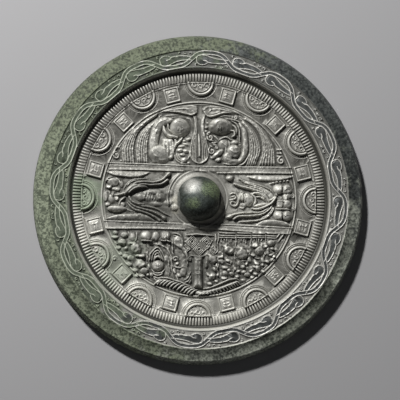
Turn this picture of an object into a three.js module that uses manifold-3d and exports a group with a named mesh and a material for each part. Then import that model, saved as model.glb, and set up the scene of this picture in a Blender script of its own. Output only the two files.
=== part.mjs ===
// An ancient cast bronze mirror, lying on its reflecting face with the decorated back up.
// Millimetres, +Z up, +X right and +Y up as the back is looked at, origin under the middle of the disc.

import * as THREE from 'three';
import { mergeVertices } from 'three/addons/utils/BufferGeometryUtils.js';
import Module from 'manifold-3d';

const wasm = await Module();
wasm.setup();

// Driving dimensions
const EDGE_RADIUS = 82.5;
const RIM_TOP_RADIUS = 80.8;
const RIM_INNER_RADIUS = 74.7;
const SCROLL_INNER_RADIUS = 65.6;
const SLOPE_FOOT_RADIUS = 62.9;
const COMB_INNER_RADIUS = 59;
const RING_RIDGE_RADIUS = 48.6;
const REST_RADIUS = 32;

// Levels above the surface that the mirror lies on
const EDGE_LEVEL = 1.2;
const FIELD_LEVEL = 3;
const COMB_LEVEL = 3.4;
const SCROLL_LEVEL = 5.9;
const RIM_LEVEL = 6.2;

// Knob and its cord channel
const KNOB = { radius: 11.3, top: 14, collar: 13.8 };
const CHANNEL = { width: 9, height: 5.8, length: 40 };

// Repeats round the disc
const COMB_TEETH = 60;
const DISC_SEGMENTS = 2 * COMB_TEETH;
const RING_UNITS = 12;

// How deep each raised form reaches into the disc below it, so that the two join
const SINK = 0.4;

const rad = THREE.MathUtils.degToRad;

// A closed geometry as a solid for joining and cutting
function toSolid(geometry) {
  geometry.deleteAttribute('normal');
  geometry.deleteAttribute('uv');
  const merged = mergeVertices(geometry, 1e-5);
  return new wasm.Manifold(new wasm.Mesh({
    numProp: 3,
    vertProperties: new Float32Array(merged.attributes.position.array),
    triVerts: new Uint32Array(merged.index.array),
  }));
}

// A joined solid back as a geometry
function toGeometry(solid) {
  const mesh = solid.getMesh();
  const geometry = new THREE.BufferGeometry();
  geometry.setAttribute('position', new THREE.BufferAttribute(mesh.vertProperties, 3));
  geometry.setIndex(new THREE.BufferAttribute(mesh.triVerts, 1));
  geometry.computeVertexNormals();
  return geometry;
}

const join = (solids) => solids.reduce((whole, solid) => whole.add(solid));

// A body turned about the disc's axis from a profile of [radius, level] points
function turned(profile, segments = DISC_SEGMENTS) {
  const points = profile.map(([radius, level]) => new THREE.Vector2(radius, level));
  return new THREE.LatheGeometry(points, segments).rotateX(Math.PI / 2);
}

// Points on an arc, angles in degrees
function arc(x, y, radius, from, to, count) {
  return Array.from({ length: count + 1 }, (_, i) => {
    const angle = rad(from + ((to - from) * i) / count);
    return new THREE.Vector2(x + radius * Math.cos(angle), y + radius * Math.sin(angle));
  });
}

// Points on a smooth line through a few places
function through(places, count) {
  const curve = new THREE.SplineCurve(places.map(([x, y]) => new THREE.Vector2(x, y)));
  return curve.getPoints(count);
}

// A point at a radius and an angle counted clockwise from the top, in degrees
function polar(radius, clockwise) {
  return new THREE.Vector2(radius * Math.sin(rad(clockwise)), radius * Math.cos(rad(clockwise)));
}

// Points on a spiral that winds inward, angles in degrees
function spiral(x, y, radius, start, sweep, count = 6) {
  return Array.from({ length: count + 1 }, (_, i) => {
    const t = i / count;
    const angle = rad(start + sweep * t);
    const reach = radius * (1 - 0.65 * t);
    return new THREE.Vector2(x + reach * Math.cos(angle), y + reach * Math.sin(angle));
  });
}

// A ridge with a roof-shaped section along a line, thinner towards its two ends
function ridge(points, width, height, { level = FIELD_LEVEL, ends = 0.3 } = {}) {
  const last = points.length - 1;
  const geometry = new THREE.CylinderGeometry(1, 1, 1, 3, last);
  const position = geometry.attributes.position;
  for (let i = 0; i < position.count; i += 1) {
    const at = Math.round((0.5 - position.getY(i)) * last);
    const here = points[at];
    const before = points[Math.max(at - 1, 0)];
    const after = points[Math.min(at + 1, last)];
    const along = after.clone().sub(before).normalize();
    const fullness = ends + (1 - ends) * Math.sin((Math.PI * at) / last) ** 0.5;
    const rise = (position.getZ(i) + 0.5) / 1.5;
    const side = (fullness * (width / 2) * (1 + SINK / height) * position.getX(i)) / Math.sin(Math.PI / 3);
    position.setXYZ(
      i,
      here.x - along.y * side,
      here.y + along.x * side,
      level - SINK + rise * (SINK + height * fullness),
    );
  }
  return toSolid(geometry);
}

// A ridge along a smooth line through a few places
const line = (places, count, width, height, options) => ridge(through(places, count), width, height, options);

// A rounded lump; with two rings it is a plain pyramid
function mound(x, y, rx, ry, height, turn = 0, { level = FIELD_LEVEL, sides = 7, rings = 4 } = {}) {
  const geometry = new THREE.SphereGeometry(1, sides, rings).rotateX(Math.PI / 2);
  const position = geometry.attributes.position;
  for (let i = 0; i < position.count; i += 1) {
    const z = position.getZ(i);
    position.setZ(i, z > 0 ? z * (height + SINK) : z * SINK);
  }
  return toSolid(geometry.scale(rx, ry, 1).rotateZ(rad(turn)).translate(x, y, level - SINK));
}

// A square outline round the origin
function square(side) {
  const half = side / 2;
  return new THREE.Shape().moveTo(-half, -half).lineTo(half, -half).lineTo(half, half).lineTo(-half, half);
}

// A flat-topped block on an outline, with its foot spread wider than its top and moved along Y
function block(shape, height, spread = 1, footY = 0) {
  const depth = height + SINK;
  const geometry = new THREE.ExtrudeGeometry(shape, { depth, bevelEnabled: false, curveSegments: 4 });
  const position = geometry.attributes.position;
  for (let i = 0; i < position.count; i += 1) {
    if (position.getZ(i) < depth / 2) {
      position.setX(i, position.getX(i) * spread);
      position.setY(i, position.getY(i) * spread + footY);
    }
  }
  return toSolid(geometry.translate(0, 0, FIELD_LEVEL - SINK));
}

// The disc with its rim, and a band of teeth that every second segment of it raises

function disc() {
  const toothHeight = 0.55;
  const solid = turned([
    [0, 0],
    [REST_RADIUS, 0],
    [EDGE_RADIUS, EDGE_LEVEL],
    [RIM_TOP_RADIUS, RIM_LEVEL],
    [RIM_INNER_RADIUS, SCROLL_LEVEL],
    [SCROLL_INNER_RADIUS, SCROLL_LEVEL],
    [SLOPE_FOOT_RADIUS, COMB_LEVEL],
    [COMB_INNER_RADIUS, COMB_LEVEL],
    [COMB_INNER_RADIUS - 0.3, FIELD_LEVEL],
    [0, FIELD_LEVEL],
  ]);
  const position = solid.attributes.position;
  for (let i = 0; i < position.count; i += 1) {
    const turn = Math.atan2(position.getY(i), position.getX(i)) / (2 * Math.PI);
    const onTooth = Math.round(turn * DISC_SEGMENTS) % 2 === 0;
    if (onTooth && Math.abs(position.getZ(i) - COMB_LEVEL) < 1e-6) {
      position.setZ(i, COMB_LEVEL + toothHeight);
    }
  }
  return toSolid(solid);
}

// A thin round ridge
function roundRidge(radius, width, height, level, segments) {
  return toSolid(turned([
    [radius - width / 2, level - SINK],
    [radius + width / 2, level - SINK],
    [radius, level + height],
    [radius - width / 2, level - SINK],
  ], segments));
}

// The scroll band on the rim: a running wave with a drop in each hollow

function scrollBand() {
  const middle = 70.2;
  const swing = 2.2;
  const waveSteps = 6 * RING_UNITS;
  const height = 0.35;
  const pieces = [];
  for (const first of [0, waveSteps / 2]) {
    const wave = Array.from({ length: waveSteps / 2 + 1 }, (_, i) => {
      const clockwise = ((first + i) * 360) / waveSteps;
      return polar(middle + swing * Math.cos(rad(clockwise * RING_UNITS)), clockwise);
    });
    pieces.push(ridge(wave, 1.2, height, { level: SCROLL_LEVEL, ends: 1 }));
  }
  for (let unit = 0; unit < RING_UNITS; unit += 1) {
    for (const [offset, radius] of [[0.7, 67.5], [15.7, 72.8]]) {
      const clockwise = unit * 30 + offset;
      const { x, y } = polar(radius, clockwise);
      pieces.push(mound(x, y, 3.2, 1.4, height, -clockwise, { level: SCROLL_LEVEL, sides: 5, rings: 2 }));
    }
  }
  return pieces;
}

// The ring of half-discs and framed squares

// Turns a solid that is drawn at the top of the disc to its place, clockwise in degrees
const placed = (solid, clockwise) => solid.rotate([0, 0, -clockwise]);

function halfDiscUnit() {
  const radius = 6;
  const height = 1.6;
  const shape = new THREE.Shape().absarc(0, 0, radius, Math.PI, 2 * Math.PI, false);
  const plate = block(shape, height, 1.1, -0.8);
  const curls = [-3, 0, 3].map((x) => mound(x, -2, 1.3, 1.3, 0.45, 45, { level: FIELD_LEVEL + height, sides: 4, rings: 2 }));
  const outline = ridge(arc(0, -1.2, radius + 1.4, 176, 364, 5), 0.8, 0.5, { ends: 0.9 });
  return join([plate, outline, ...curls]).translate([0, COMB_INNER_RADIUS - 0.7, 0]);
}

function squareUnit() {
  const side = 7.2;
  const inner = 5.6;
  const frameShape = square(side);
  frameShape.holes.push(square(inner));
  const frame = block(frameShape, 1.3);
  const strokes = [-1.2, 1.2].map((y) => line([[-2, y], [2, y]], 1, 1.4, 0.7, { ends: 0.6 }));
  return join([frame, ...strokes]).translate([0, 53.4, 0]);
}

function ring() {
  return Array.from({ length: RING_UNITS }, (_, unit) => [
    placed(halfDiscUnit(), unit * 30 + 0.7),
    placed(squareUnit(), unit * 30 + 15.5),
  ]).flat();
}

// The knob: a dome pierced from side to side for a cord, on a low collar

function knob() {
  const rings = 4;
  const foot = FIELD_LEVEL + 0.4;
  const profile = [[0, FIELD_LEVEL - SINK], [KNOB.radius, FIELD_LEVEL - SINK]];
  for (let i = 0; i <= rings; i += 1) {
    const angle = ((Math.PI / 2) * i) / rings;
    profile.push([i === rings ? 0 : KNOB.radius * Math.cos(angle), foot + (KNOB.top - foot) * Math.sin(angle)]);
  }
  const dome = toSolid(turned(profile, 20));
  const half = CHANNEL.width / 2;
  const arch = new THREE.Shape().moveTo(half, -1).absarc(0, CHANNEL.height - half, half, 0, Math.PI, false).lineTo(-half, -1);
  const tunnel = toSolid(
    new THREE.ExtrudeGeometry(arch, { depth: CHANNEL.length, bevelEnabled: false, curveSegments: 4 })
      .translate(0, 0, -CHANNEL.length / 2)
      .rotateX(Math.PI / 2)
      .rotateZ(Math.PI / 2)
      .translate(0, 0, FIELD_LEVEL),
  );
  const collar = roundRidge(KNOB.collar, 1.6, 0.5, FIELD_LEVEL, 24);
  return dome.subtract(tunnel).add(collar);
}

// The bars across the field, each a pair of thin lines, and the leaves that lie along them

function bars() {
  const pairs = [
    [[-45, 17.5], [0, 16.4]], [[-45, 14.6], [-8, 13.9]],
    [[0, 16.3], [45, 16.2]], [[9, 13.2], [46, 13.2]],
    [[-47, -11.4], [-9, -12.3]], [[-46, -15], [-7, -15.1]],
    [[11, -12.8], [46, -14.2]], [[10, -15.2], [45, -17.1]],
  ];
  const lines = pairs.map((ends) => line(ends, 1, 1, 0.6, { ends: 0.9 }));
  const leaves = [
    [[-46, 13.2], [-33, 11.6], [-24.5, 13]], [[24, 11.6], [34, 10], [47, 11.6]],
    [[-47, -10.2], [-33, -8.9], [-22, -11]], [[28, -12.8], [36, -11.4], [46.5, -12.9]],
  ];
  return [...lines, ...leaves.map((places) => line(places, 4, 3, 0.9, { ends: 0.1 }))];
}

// The two seated figures above, either side of a tall loop, drawn for one side and mirrored

function seatedFigure(side) {
  const at = (places) => places.map(([x, y]) => [side * x, y]);
  const pieces = [
    mound(side * 9.9, 35.6, 5.6, 4.8, 2.2, 0, { sides: 8 }),
    mound(side * 9.9, 34.6, 0.7, 1.4, 2.6, 0, { sides: 4, rings: 2 }),
    mound(side * 15.5, 26, 2.6, 4.4, 0.9),
    mound(side * 18, 21.8, 5, 3.2, 1.5, side * 15),
    mound(side * 9.4, 21.2, 2.8, 2.2, 1, side * 30),
    mound(side * 2.7, 44.6, 1.7, 1.3, 1.3, side * 20, { sides: 6 }),
    mound(side * 41.2, 20.6, 1.7, 1.7, 0.8, 0, { sides: 6 }),
    mound(side * 40.2, 24.6, 1.1, 1.1, 0.6, 0, { sides: 5 }),
    line(at([[12, 38.9], [18.8, 36.6], [22.4, 31], [22.6, 23.5]]), 4, 4.4, 1.5, { ends: 0.4 }),
    line(at([[2.4, 45], [9, 46], [16, 44.7], [22.5, 40.8]]), 4, 1.5, 1),
    line(at([[2.4, 42.6], [9, 42.4], [17, 43]]), 3, 1.3, 0.8),
    line(at([[16.6, 36.4], [15.2, 32.4], [9.4, 30.9]]), 3, 1.8, 1.2),
    ridge(spiral(side * 6.9, 24.2, 2, 90, side * 330, 5), 1, 0.7),
  ];
  const feathers = { nearest: 26.4, apart: 4.2, count: 3 };
  for (let i = 0; i < feathers.count; i += 1) {
    const foot = feathers.nearest + i * feathers.apart;
    pieces.push(line(at([[19.5 + i, 39.6 - 0.2 * i], [foot - 0.6, 33 - 2 * i], [foot, 18.6]]), 3, 2.4, 0.8));
  }
  return pieces;
}

function topScene() {
  const loops = [2, 3.5].map((half) => ridge(
    [new THREE.Vector2(-half, 34), ...arc(0, 20.8, half, 180, 360, 3), new THREE.Vector2(half, 34)], 0.8, 0.5,
  ));
  const drop = line([[0, 31], [0, 20.6]], 2, 1.6, 1);
  return [drop, ...loops, ...seatedFigure(-1), ...seatedFigure(1)];
}

// The two lying creatures beside the knob

function leftCreature() {
  return [
    line([[-40, 1.6], [-34, 8.2], [-20, 8.8], [-14.8, 12]], 5, 1.4, 0.9),
    line([[-39, 0.6], [-33, 6.6], [-22, 7.1], [-16, 9.4]], 4, 1.8, 1.1),
    line([[-35, -1], [-28, -4.4], [-20, -6.5], [-17.4, -9.2]], 4, 1.4, 0.9),
    line([[-36.5, -3], [-28, -6.2], [-20.5, -9], [-17, -11]], 4, 1.2, 0.7),
    mound(-15, 12, 1.2, 1, 1.2, 30, { sides: 5 }),
    mound(-17.2, -9.4, 1.2, 1, 1.1, -30, { sides: 5 }),
    mound(-28.5, 1.2, 4.6, 3, 1.4),
    mound(-20, 0.6, 4.4, 3.2, 0.9),
    mound(-43.2, 7.8, 3, 2.6, 1.4),
    mound(-39.6, 5.4, 1.8, 2.4, 0.9, 0, { sides: 6 }),
    mound(-43.4, 0.6, 3, 3, 0.8),
    mound(-41.6, -4.6, 4.4, 1.9, 1.4, 8),
  ];
}

function rightCreature() {
  return [
    line([[16.8, 9.8], [27, 7.8], [35, 4.4], [37.3, -1]], 4, 1.3, 0.8),
    line([[17, 7.2], [27, 5.2], [33.5, 2.8], [36, -1]], 4, 1.5, 1),
    line([[15, -8.8], [19, -7.2], [31, -6.6], [37, -1.6]], 4, 1.4, 0.9),
    line([[17.4, -9.6], [22, -8.4], [31, -8.4], [37.3, -3.4]], 4, 1.2, 0.8),
    mound(15.2, 10.8, 1.5, 1.4, 1.4, 0, { sides: 5 }),
    ridge(spiral(17.6, 1.3, 1.9, 150, -330, 5), 0.9, 0.7),
    ridge(spiral(17.6, -2.1, 1.9, 30, -330, 5), 0.9, 0.7),
    mound(22.6, 0.2, 2.9, 2.8, 1.3),
    mound(26, -1.2, 2.3, 2.7, 1.8),
    line([[26.8, 2.4], [31, 2.4], [35, -0.8]], 3, 2.2, 1.2),
    line([[25.8, -4.4], [30.4, -3.6], [35.4, -2.6]], 2, 2.4, 1),
    mound(40, 5.6, 3.2, 2, 1.7, -10),
    mound(44.2, 5.4, 2.4, 2.4, 1.5, 30),
    mound(40.4, -7.6, 2.5, 2.3, 1.7),
    mound(44.4, -7.8, 2.5, 2, 1.5, -20),
    mound(42.4, -1, 3.6, 2.8, 1.1),
    mound(47, 1.7, 0.9, 0.9, 0.7, 0, { sides: 5 }),
    mound(47, -4.4, 0.9, 0.9, 0.7, 0, { sides: 5 }),
  ];
}

// The lower scene: a ringed pillar under a lozenge canopy, standing on two fluted ropes

function pillar() {
  const radius = 2.2;
  const shaft = toSolid(new THREE.CylinderGeometry(radius, radius, 16, 7).translate(0, -37, FIELD_LEVEL - 0.5));
  const rings = [-35.4, -37].map((y) => toSolid(
    new THREE.CylinderGeometry(radius + 0.3, radius + 0.3, 0.7, 7).translate(0, y, FIELD_LEVEL - 0.5),
  ));
  const canopyShape = new THREE.Shape([
    [-6.4, -19], [-6.4, -24.6], [-2.2, -28.8], [2.2, -28.8], [8, -24.6], [8, -19],
  ].map(([x, y]) => new THREE.Vector2(x, y)));
  const lozenges = [-1, 1].flatMap((lean) => [-3, 0.6, 4.2].map((x) => line(
    [[x - lean * 2.4, -19.6], [x + lean * 1.6, -25.4]], 1, 0.8, 0.4, { level: FIELD_LEVEL + 0.7 },
  )));
  return [shaft, ...rings, block(canopyShape, 0.7), ...lozenges];
}

function rope(side, flutes) {
  const top = through([[side * 20.6, -42.2], [side * 15.5, -40.4], [side * 8, -43.2], [side * 1.5, -46]], flutes);
  const bottom = through([[side * 19.6, -43.6], [side * 14, -45.6], [side * 8, -47], [side * 2.5, -47.4]], flutes);
  const strokes = top.slice(1, -1).map((start, i) => ridge([start, bottom[i + 1]], 1.2, 0.9, { ends: 0.8 }));
  return [...strokes, line([[side * 15.5, -39.7], [side * 9, -42], [side * 2.4, -44.8]], 3, 0.9, 0.6)];
}

function hangingRow() {
  const blocks = [[13.8, 7.4], [22.5, 6.6], [30, 5.8], [36.8, 5.4]];
  return blocks.map(([x, width]) => toSolid(
    new THREE.BoxGeometry(width, 3.2, 0.8 + SINK).translate(x, -18.6, FIELD_LEVEL + (0.8 - SINK) / 2),
  ));
}

function crowd() {
  const columns = [
    [[6.4, -30.4, 2.2], [5, -34.6, 1.3], [6.6, -37.4, 1.9], [5.8, -42, 1.2]],
    [[14.3, -25.4, 2.6], [11.3, -29.6, 1.7], [13.4, -32.8, 1.7], [13.6, -36.6, 2.2], [13, -39.4, 0.9]],
    [[21.8, -26.8, 3.3], [22.8, -32, 1.6], [20.2, -33.4, 1.4], [21.8, -37, 2.3]],
    [[28.4, -23.2, 2], [27.2, -27, 1.8], [30.6, -27.2, 1.8], [28.4, -32, 1.7], [28.4, -36.4, 1.4]],
    [[36.4, -21.8, 1.7], [35.8, -26, 2], [34.4, -30.6, 1.3]],
  ];
  return columns.flat().map(([x, y, radius]) => mound(x, y, radius, radius, 0.5 + 0.45 * radius, 0, { sides: 5 }));
}

function leftGroup() {
  return [
    mound(-25.5, -19.2, 2.9, 2.4, 1.4),
    mound(-17, -19.4, 2.4, 2.8, 1.4, 0, { sides: 6 }),
    mound(-24.8, -22.8, 2.2, 1.7, 1.6, 0, { sides: 6 }),
    mound(-16.9, -22.9, 2.5, 1.8, 1.6, 0, { sides: 6 }),
    mound(-30.2, -26.2, 2.5, 3, 1.5),
    mound(-28, -33.4, 2.6, 3.2, 1.6),
    mound(-37.6, -21.6, 1.8, 1.8, 1.1, 0, { sides: 5 }),
    mound(-35.8, -27.4, 2.6, 2.8, 0.8, 0, { sides: 6 }),
    mound(-38.4, -32.6, 2.4, 2.2, 0.7, 0, { sides: 5 }),
    line([[-42.6, -16.6], [-35.4, -17]], 1, 1.8, 0.7, { ends: 0.8 }),
    line([[-25, -31.4], [-23.6, -26.2], [-20, -23.6], [-16.4, -26.4], [-15, -31.4]], 6, 1.1, 0.8, { ends: 0.6 }),
    line([[-22.6, -30.6], [-20, -28], [-17.6, -30.6]], 2, 1.3, 1.4),
    mound(-19.9, -33, 2.9, 2.8, 1.6),
    line([[-22.6, -36.4], [-19.6, -36.2], [-17, -37.4]], 2, 1.3, 0.9),
    mound(-9.6, -23.4, 2.6, 4.6, 1.3, 8),
    line([[-7.6, -26], [-6.4, -30.5], [-7.8, -35.4]], 3, 1.8, 0.9),
    ridge(spiral(-11, -31, 1.7, 60, 330, 5), 0.8, 0.7),
    mound(-9, -36.2, 2.4, 1.8, 1, -15, { sides: 6 }),
  ];
}

// The whole casting

const mirror = new THREE.Mesh(
  toGeometry(join([
    disc(),
    ...scrollBand(),
    roundRidge(RING_RIDGE_RADIUS, 1.3, 0.8, FIELD_LEVEL, 40),
    ...ring(),
    knob(),
    ...bars(),
    ...topScene(),
    ...leftCreature(),
    ...rightCreature(),
    ...pillar(),
    ...rope(-1, 9),
    ...rope(1, 10),
    ...hangingRow(),
    ...crowd(),
    ...leftGroup(),
  ])),
  new THREE.MeshStandardMaterial({ color: 0x6f736a, roughness: 0.5, metalness: 0.7 }),
);
mirror.name = 'bronze_mirror';

const model = new THREE.Group();
model.add(mirror);

export default model;
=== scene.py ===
"""An ancient cast bronze mirror that lies on its reflecting face: carving, metal, light and camera."""
import math
import random

import bpy
import numpy as np
from mathutils import Matrix, Vector


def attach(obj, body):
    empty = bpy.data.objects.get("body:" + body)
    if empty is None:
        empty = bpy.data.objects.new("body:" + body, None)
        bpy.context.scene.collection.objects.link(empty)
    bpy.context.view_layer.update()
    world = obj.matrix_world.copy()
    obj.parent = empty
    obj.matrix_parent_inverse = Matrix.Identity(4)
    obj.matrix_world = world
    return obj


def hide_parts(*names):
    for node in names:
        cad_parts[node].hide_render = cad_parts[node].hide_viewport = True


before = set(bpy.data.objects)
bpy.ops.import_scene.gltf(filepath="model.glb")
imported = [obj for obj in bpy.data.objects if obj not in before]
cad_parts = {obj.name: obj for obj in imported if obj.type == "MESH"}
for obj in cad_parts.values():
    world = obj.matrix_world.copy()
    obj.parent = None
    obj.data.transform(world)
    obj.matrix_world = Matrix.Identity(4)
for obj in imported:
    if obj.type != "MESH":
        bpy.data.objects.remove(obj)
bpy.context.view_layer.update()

# Millimetres in metres; every length below is in millimetres
MM = 0.001

# Driving dimensions, as in the solid
EDGE_RADIUS = 82.5
RIM_TOP_RADIUS = 80.8
RIM_INNER_RADIUS = 74.7
SCROLL_INNER_RADIUS = 65.6
COMB_OUTER_RADIUS = 63.1
COMB_INNER_RADIUS = 59.0
RING_RIDGE_RADIUS = 48.6
FIELD_RADIUS = 47.6
REST_RADIUS = 32.0
EDGE_LEVEL = 1.2
FIELD_LEVEL = 3.0
COMB_LEVEL = 3.4
SCROLL_LEVEL = 5.9
RIM_LEVEL = 6.2
COMB_TEETH = 258
TOOTH_HEIGHT = 0.6
RING_UNITS = 12
KNOB_RADIUS = 11.3
KNOB_TOP = 14.0
KNOB_FOOT = FIELD_LEVEL - 1.2
CHANNEL_Y = -0.4
CHANNEL_WIDTH = 9.6
CHANNEL_HEIGHT = 5.8

# Plain raised circles: radius, width and height
RIDGES = [(RING_RIDGE_RADIUS, 1.0, 0.7), (47.4, 0.5, 0.3), (58.5, 0.7, 0.45), (65.9, 0.7, 0.3),
          (74.8, 0.8, 0.25)]

# Section of the decorated side: radii and levels
PROFILE = [
    (0, FIELD_LEVEL), (COMB_INNER_RADIUS - 0.15, FIELD_LEVEL), (COMB_INNER_RADIUS, COMB_LEVEL),
    (63.2, COMB_LEVEL), (64.0, 3.8), (64.7, 4.7), (65.2, 5.6), (SCROLL_INNER_RADIUS, SCROLL_LEVEL),
    (RIM_INNER_RADIUS, SCROLL_LEVEL), (RIM_INNER_RADIUS + 0.15, RIM_LEVEL), (EDGE_RADIUS, RIM_LEVEL),
]

# Scroll band: its middle radius, and the heights of its flat forms and of their outlines
BAND_MIDDLE = 70.2
PLATE = 0.34
OUTLINE = 0.62

# The carving is drawn on a square grid of heights above the field
GRID_HALF = 76.0
GRID_STEP = 0.16
RELIEF_SEED = 7

MIRROR_TRIANGLES = 186000
QUICK_TRIANGLES = 90000
# Name of the value at each point that says how worn it is, and how much dirt and painted shade its hollows
# get
WEAR_AND_HOLLOW_SHADE = "wear_and_hollow_shade"

# Camera over the disc, tipped by two small angles in degrees; distance and width of view in metres
TILT_X = 4.5
TILT_Y = 5.5
CAMERA_DISTANCE = 1.0
CAMERA_TARGET = (0.0003, -0.0007, 0.005)
FRAME_WIDTH = 0.199
SENSOR_WIDTH = 36
FLOOR_HALF = 1500


def noise(shape, cell, dice):
    """Smooth random values about zero on a grid, with features about a given number of cells wide."""
    rows, columns = (int(n / cell) + 3 for n in shape)
    coarse = dice.standard_normal((rows, columns))
    y = np.linspace(0, rows - 2.001, shape[0])
    x = np.linspace(0, columns - 2.001, shape[1])
    j, i = y.astype(int), x.astype(int)
    fy, fx = (y - j)[:, None], (x - i)[None, :]
    fy, fx = fy * fy * (3 - 2 * fy), fx * fx * (3 - 2 * fx)
    a, b = coarse[j][:, i], coarse[j][:, i + 1]
    d, e = coarse[j + 1][:, i], coarse[j + 1][:, i + 1]
    return (a * (1 - fx) + b * fx) * (1 - fy) + (d * (1 - fx) + e * fx) * fy


def blurred(grid, width):
    """The grid smoothed over about a width in millimetres."""
    cells = max(1, int(round(width / GRID_STEP / 2)))
    for _ in range(3):
        for axis in (0, 1):
            padded = np.pad(grid, [(cells + 1, cells) if k == axis else (0, 0) for k in (0, 1)], mode="edge")
            run = np.cumsum(padded, axis=axis)
            ahead = np.take(run, np.arange(2 * cells + 1, run.shape[axis]), axis=axis)
            behind = np.take(run, np.arange(run.shape[axis] - 2 * cells - 1), axis=axis)
            grid = (ahead - behind) / (2 * cells + 1)
    return grid


class Carving:
    """Heights of the raised forms over the floor they stand on, on a square grid."""

    def __init__(self):
        self.count = int(round(2 * GRID_HALF / GRID_STEP)) + 1
        self.axis = np.linspace(-GRID_HALF, GRID_HALF, self.count)
        self.height = np.zeros((self.count, self.count), dtype=np.float32)

    def window(self, low, high):
        first = [max(0, int((v + GRID_HALF) / GRID_STEP)) for v in low]
        last = [min(self.count, int((v + GRID_HALF) / GRID_STEP) + 2) for v in high]
        rows, columns = slice(first[1], last[1]), slice(first[0], last[0])
        x, y = np.meshgrid(self.axis[columns], self.axis[rows])
        return (rows, columns), x, y

    def put(self, place, height, on_top):
        if on_top:
            self.height[place] += height
        else:
            np.maximum(self.height[place], height, out=self.height[place])

    def stroke(self, points, width, height, taper=(0.35, 0.35), lean=0.0, on_top=False, power=0.75):
        """A raised line; taper is how full each end is, lean moves its crest to the left of its way."""
        points = np.asarray(points, dtype=float)
        reach = width / 2 + GRID_STEP
        place, x, y = self.window(points.min(0) - reach, points.max(0) + reach)
        lengths = np.hypot(*np.diff(points, axis=0).T)
        total = lengths.sum()
        best = np.full(x.shape, 1e9)
        along = np.zeros(x.shape)
        side = np.zeros(x.shape)
        start = 0.0
        for (ax, ay), (bx, by), length in zip(points[:-1], points[1:], lengths):
            if length < 1e-9:
                continue
            ux, uy = (bx - ax) / length, (by - ay) / length
            t = np.clip((x - ax) * ux + (y - ay) * uy, 0, length)
            dx, dy = x - ax - t * ux, y - ay - t * uy
            distance = np.hypot(dx, dy)
            nearer = distance < best
            best = np.where(nearer, distance, best)
            along = np.where(nearer, (start + t) / total, along)
            side = np.where(nearer, np.sign(ux * dy - uy * dx), side)
            start += length
        grow = np.clip(along / 0.3, 0, 1)
        fade = np.clip((1 - along) / 0.3, 0, 1)
        full = np.minimum(taper[0] + (1 - taper[0]) * np.sin(grow * math.pi / 2),
                          taper[1] + (1 - taper[1]) * np.sin(fade * math.pi / 2))
        across = best / (full * width / 2)
        if lean:
            signed = np.clip(side * across, -1, 1)
            across = np.where(across < 1, np.abs(signed - lean) / np.where(signed > lean, 1 - lean, 1 + lean),
                              2)
        shape = np.clip(1 - across ** 2, 0, 1) ** power
        self.put(place, (height * np.sqrt(full) * shape).astype(np.float32), on_top)

    def dome(self, x0, y0, rx, ry, height, turn=0.0, on_top=False, power=0.6, peak=(0.0, 0.0)):
        """A rounded form on an ellipse; peak moves its highest place, in parts of the half-widths."""
        reach = max(rx, ry)
        place, x, y = self.window((x0 - reach, y0 - reach), (x0 + reach, y0 + reach))
        c, s = math.cos(math.radians(turn)), math.sin(math.radians(turn))
        u = ((x - x0) * c + (y - y0) * s) / rx
        v = ((y - y0) * c - (x - x0) * s) / ry
        du, dv = u - peak[0], v - peak[1]
        away2 = np.maximum(du * du + dv * dv, 1e-9)
        toward = du * peak[0] + dv * peak[1]
        room = 1 - peak[0] ** 2 - peak[1] ** 2
        share = away2 / (np.sqrt(toward * toward + away2 * room) - toward)
        shape = np.clip(1 - share ** 2, 0, 1) ** power
        self.put(place, (height * shape).astype(np.float32), on_top)

    def plate(self, outline, height, edge, on_top=False):
        """A flat-topped form on an outline, with a sloping edge of a given width inside it."""
        outline = np.asarray(outline, dtype=float)
        place, x, y = self.window(outline.min(0) - 1, outline.max(0) + 1)
        inside = np.zeros(x.shape, dtype=bool)
        nearest = np.full(x.shape, 1e9)
        for (ax, ay), (bx, by) in zip(outline, np.roll(outline, -1, axis=0)):
            if ay != by:
                crossing = (ay > y) != (by > y)
                inside ^= crossing & (x < ax + (y - ay) * (bx - ax) / (by - ay))
            length2 = (bx - ax) ** 2 + (by - ay) ** 2
            t = np.clip(((x - ax) * (bx - ax) + (y - ay) * (by - ay)) / max(length2, 1e-9), 0, 1)
            nearest = np.minimum(nearest, np.hypot(x - ax - t * (bx - ax), y - ay - t * (by - ay)))
        depth = np.clip(np.where(inside, nearest, 0) / edge, 0, 1)
        self.put(place, (height * np.sin(depth * math.pi / 2)).astype(np.float32), on_top)


def smooth(places, count=24):
    """Points on a smooth line through a few places."""
    p = np.asarray(places, dtype=float)
    if len(p) == 2:
        return p
    p = np.vstack([2 * p[0] - p[1], p, 2 * p[-1] - p[-2]])
    spans = len(p) - 3
    result = []
    for t in np.linspace(0, spans, count + 1):
        i = min(int(t), spans - 1)
        f = t - i
        a, b, c, d = p[i:i + 4]
        bend, turn = 2 * a - 5 * b + 4 * c - d, 3 * b - a - 3 * c + d
        result.append(0.5 * (2 * b + (c - a) * f + bend * f ** 2 + turn * f ** 3))
    return np.array(result)


def arc(x, y, radius, start, end, count=20):
    angle = np.radians(np.linspace(start, end, count + 1))
    return np.stack([x + radius * np.cos(angle), y + radius * np.sin(angle)], axis=1)


def coil(x, y, radius, start, sweep, inner=0.25, count=26):
    """Points on a spiral from its outside to its middle, angles in degrees."""
    t = np.linspace(0, 1, count + 1)
    angle = np.radians(start + sweep * t)
    reach = radius * (1 - (1 - inner) * t)
    return np.stack([x + reach * np.cos(angle), y + reach * np.sin(angle)], axis=1)


def polar(radius, clockwise):
    """Points at radii and at angles counted clockwise from the top of the disc."""
    angle = np.radians(clockwise)
    return np.stack([radius * np.sin(angle), radius * np.cos(angle)], axis=-1)


def curl(c, x, y, radius, start, sweep=420, width=0.75, height=0.7, **more):
    """A small scroll with a bead at its middle."""
    c.stroke(coil(x, y, radius, start, sweep), width, height, taper=(0.5, 0.8), **more)
    c.dome(x, y, 0.3 * radius, 0.3 * radius, height * 0.9, **more)


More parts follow.
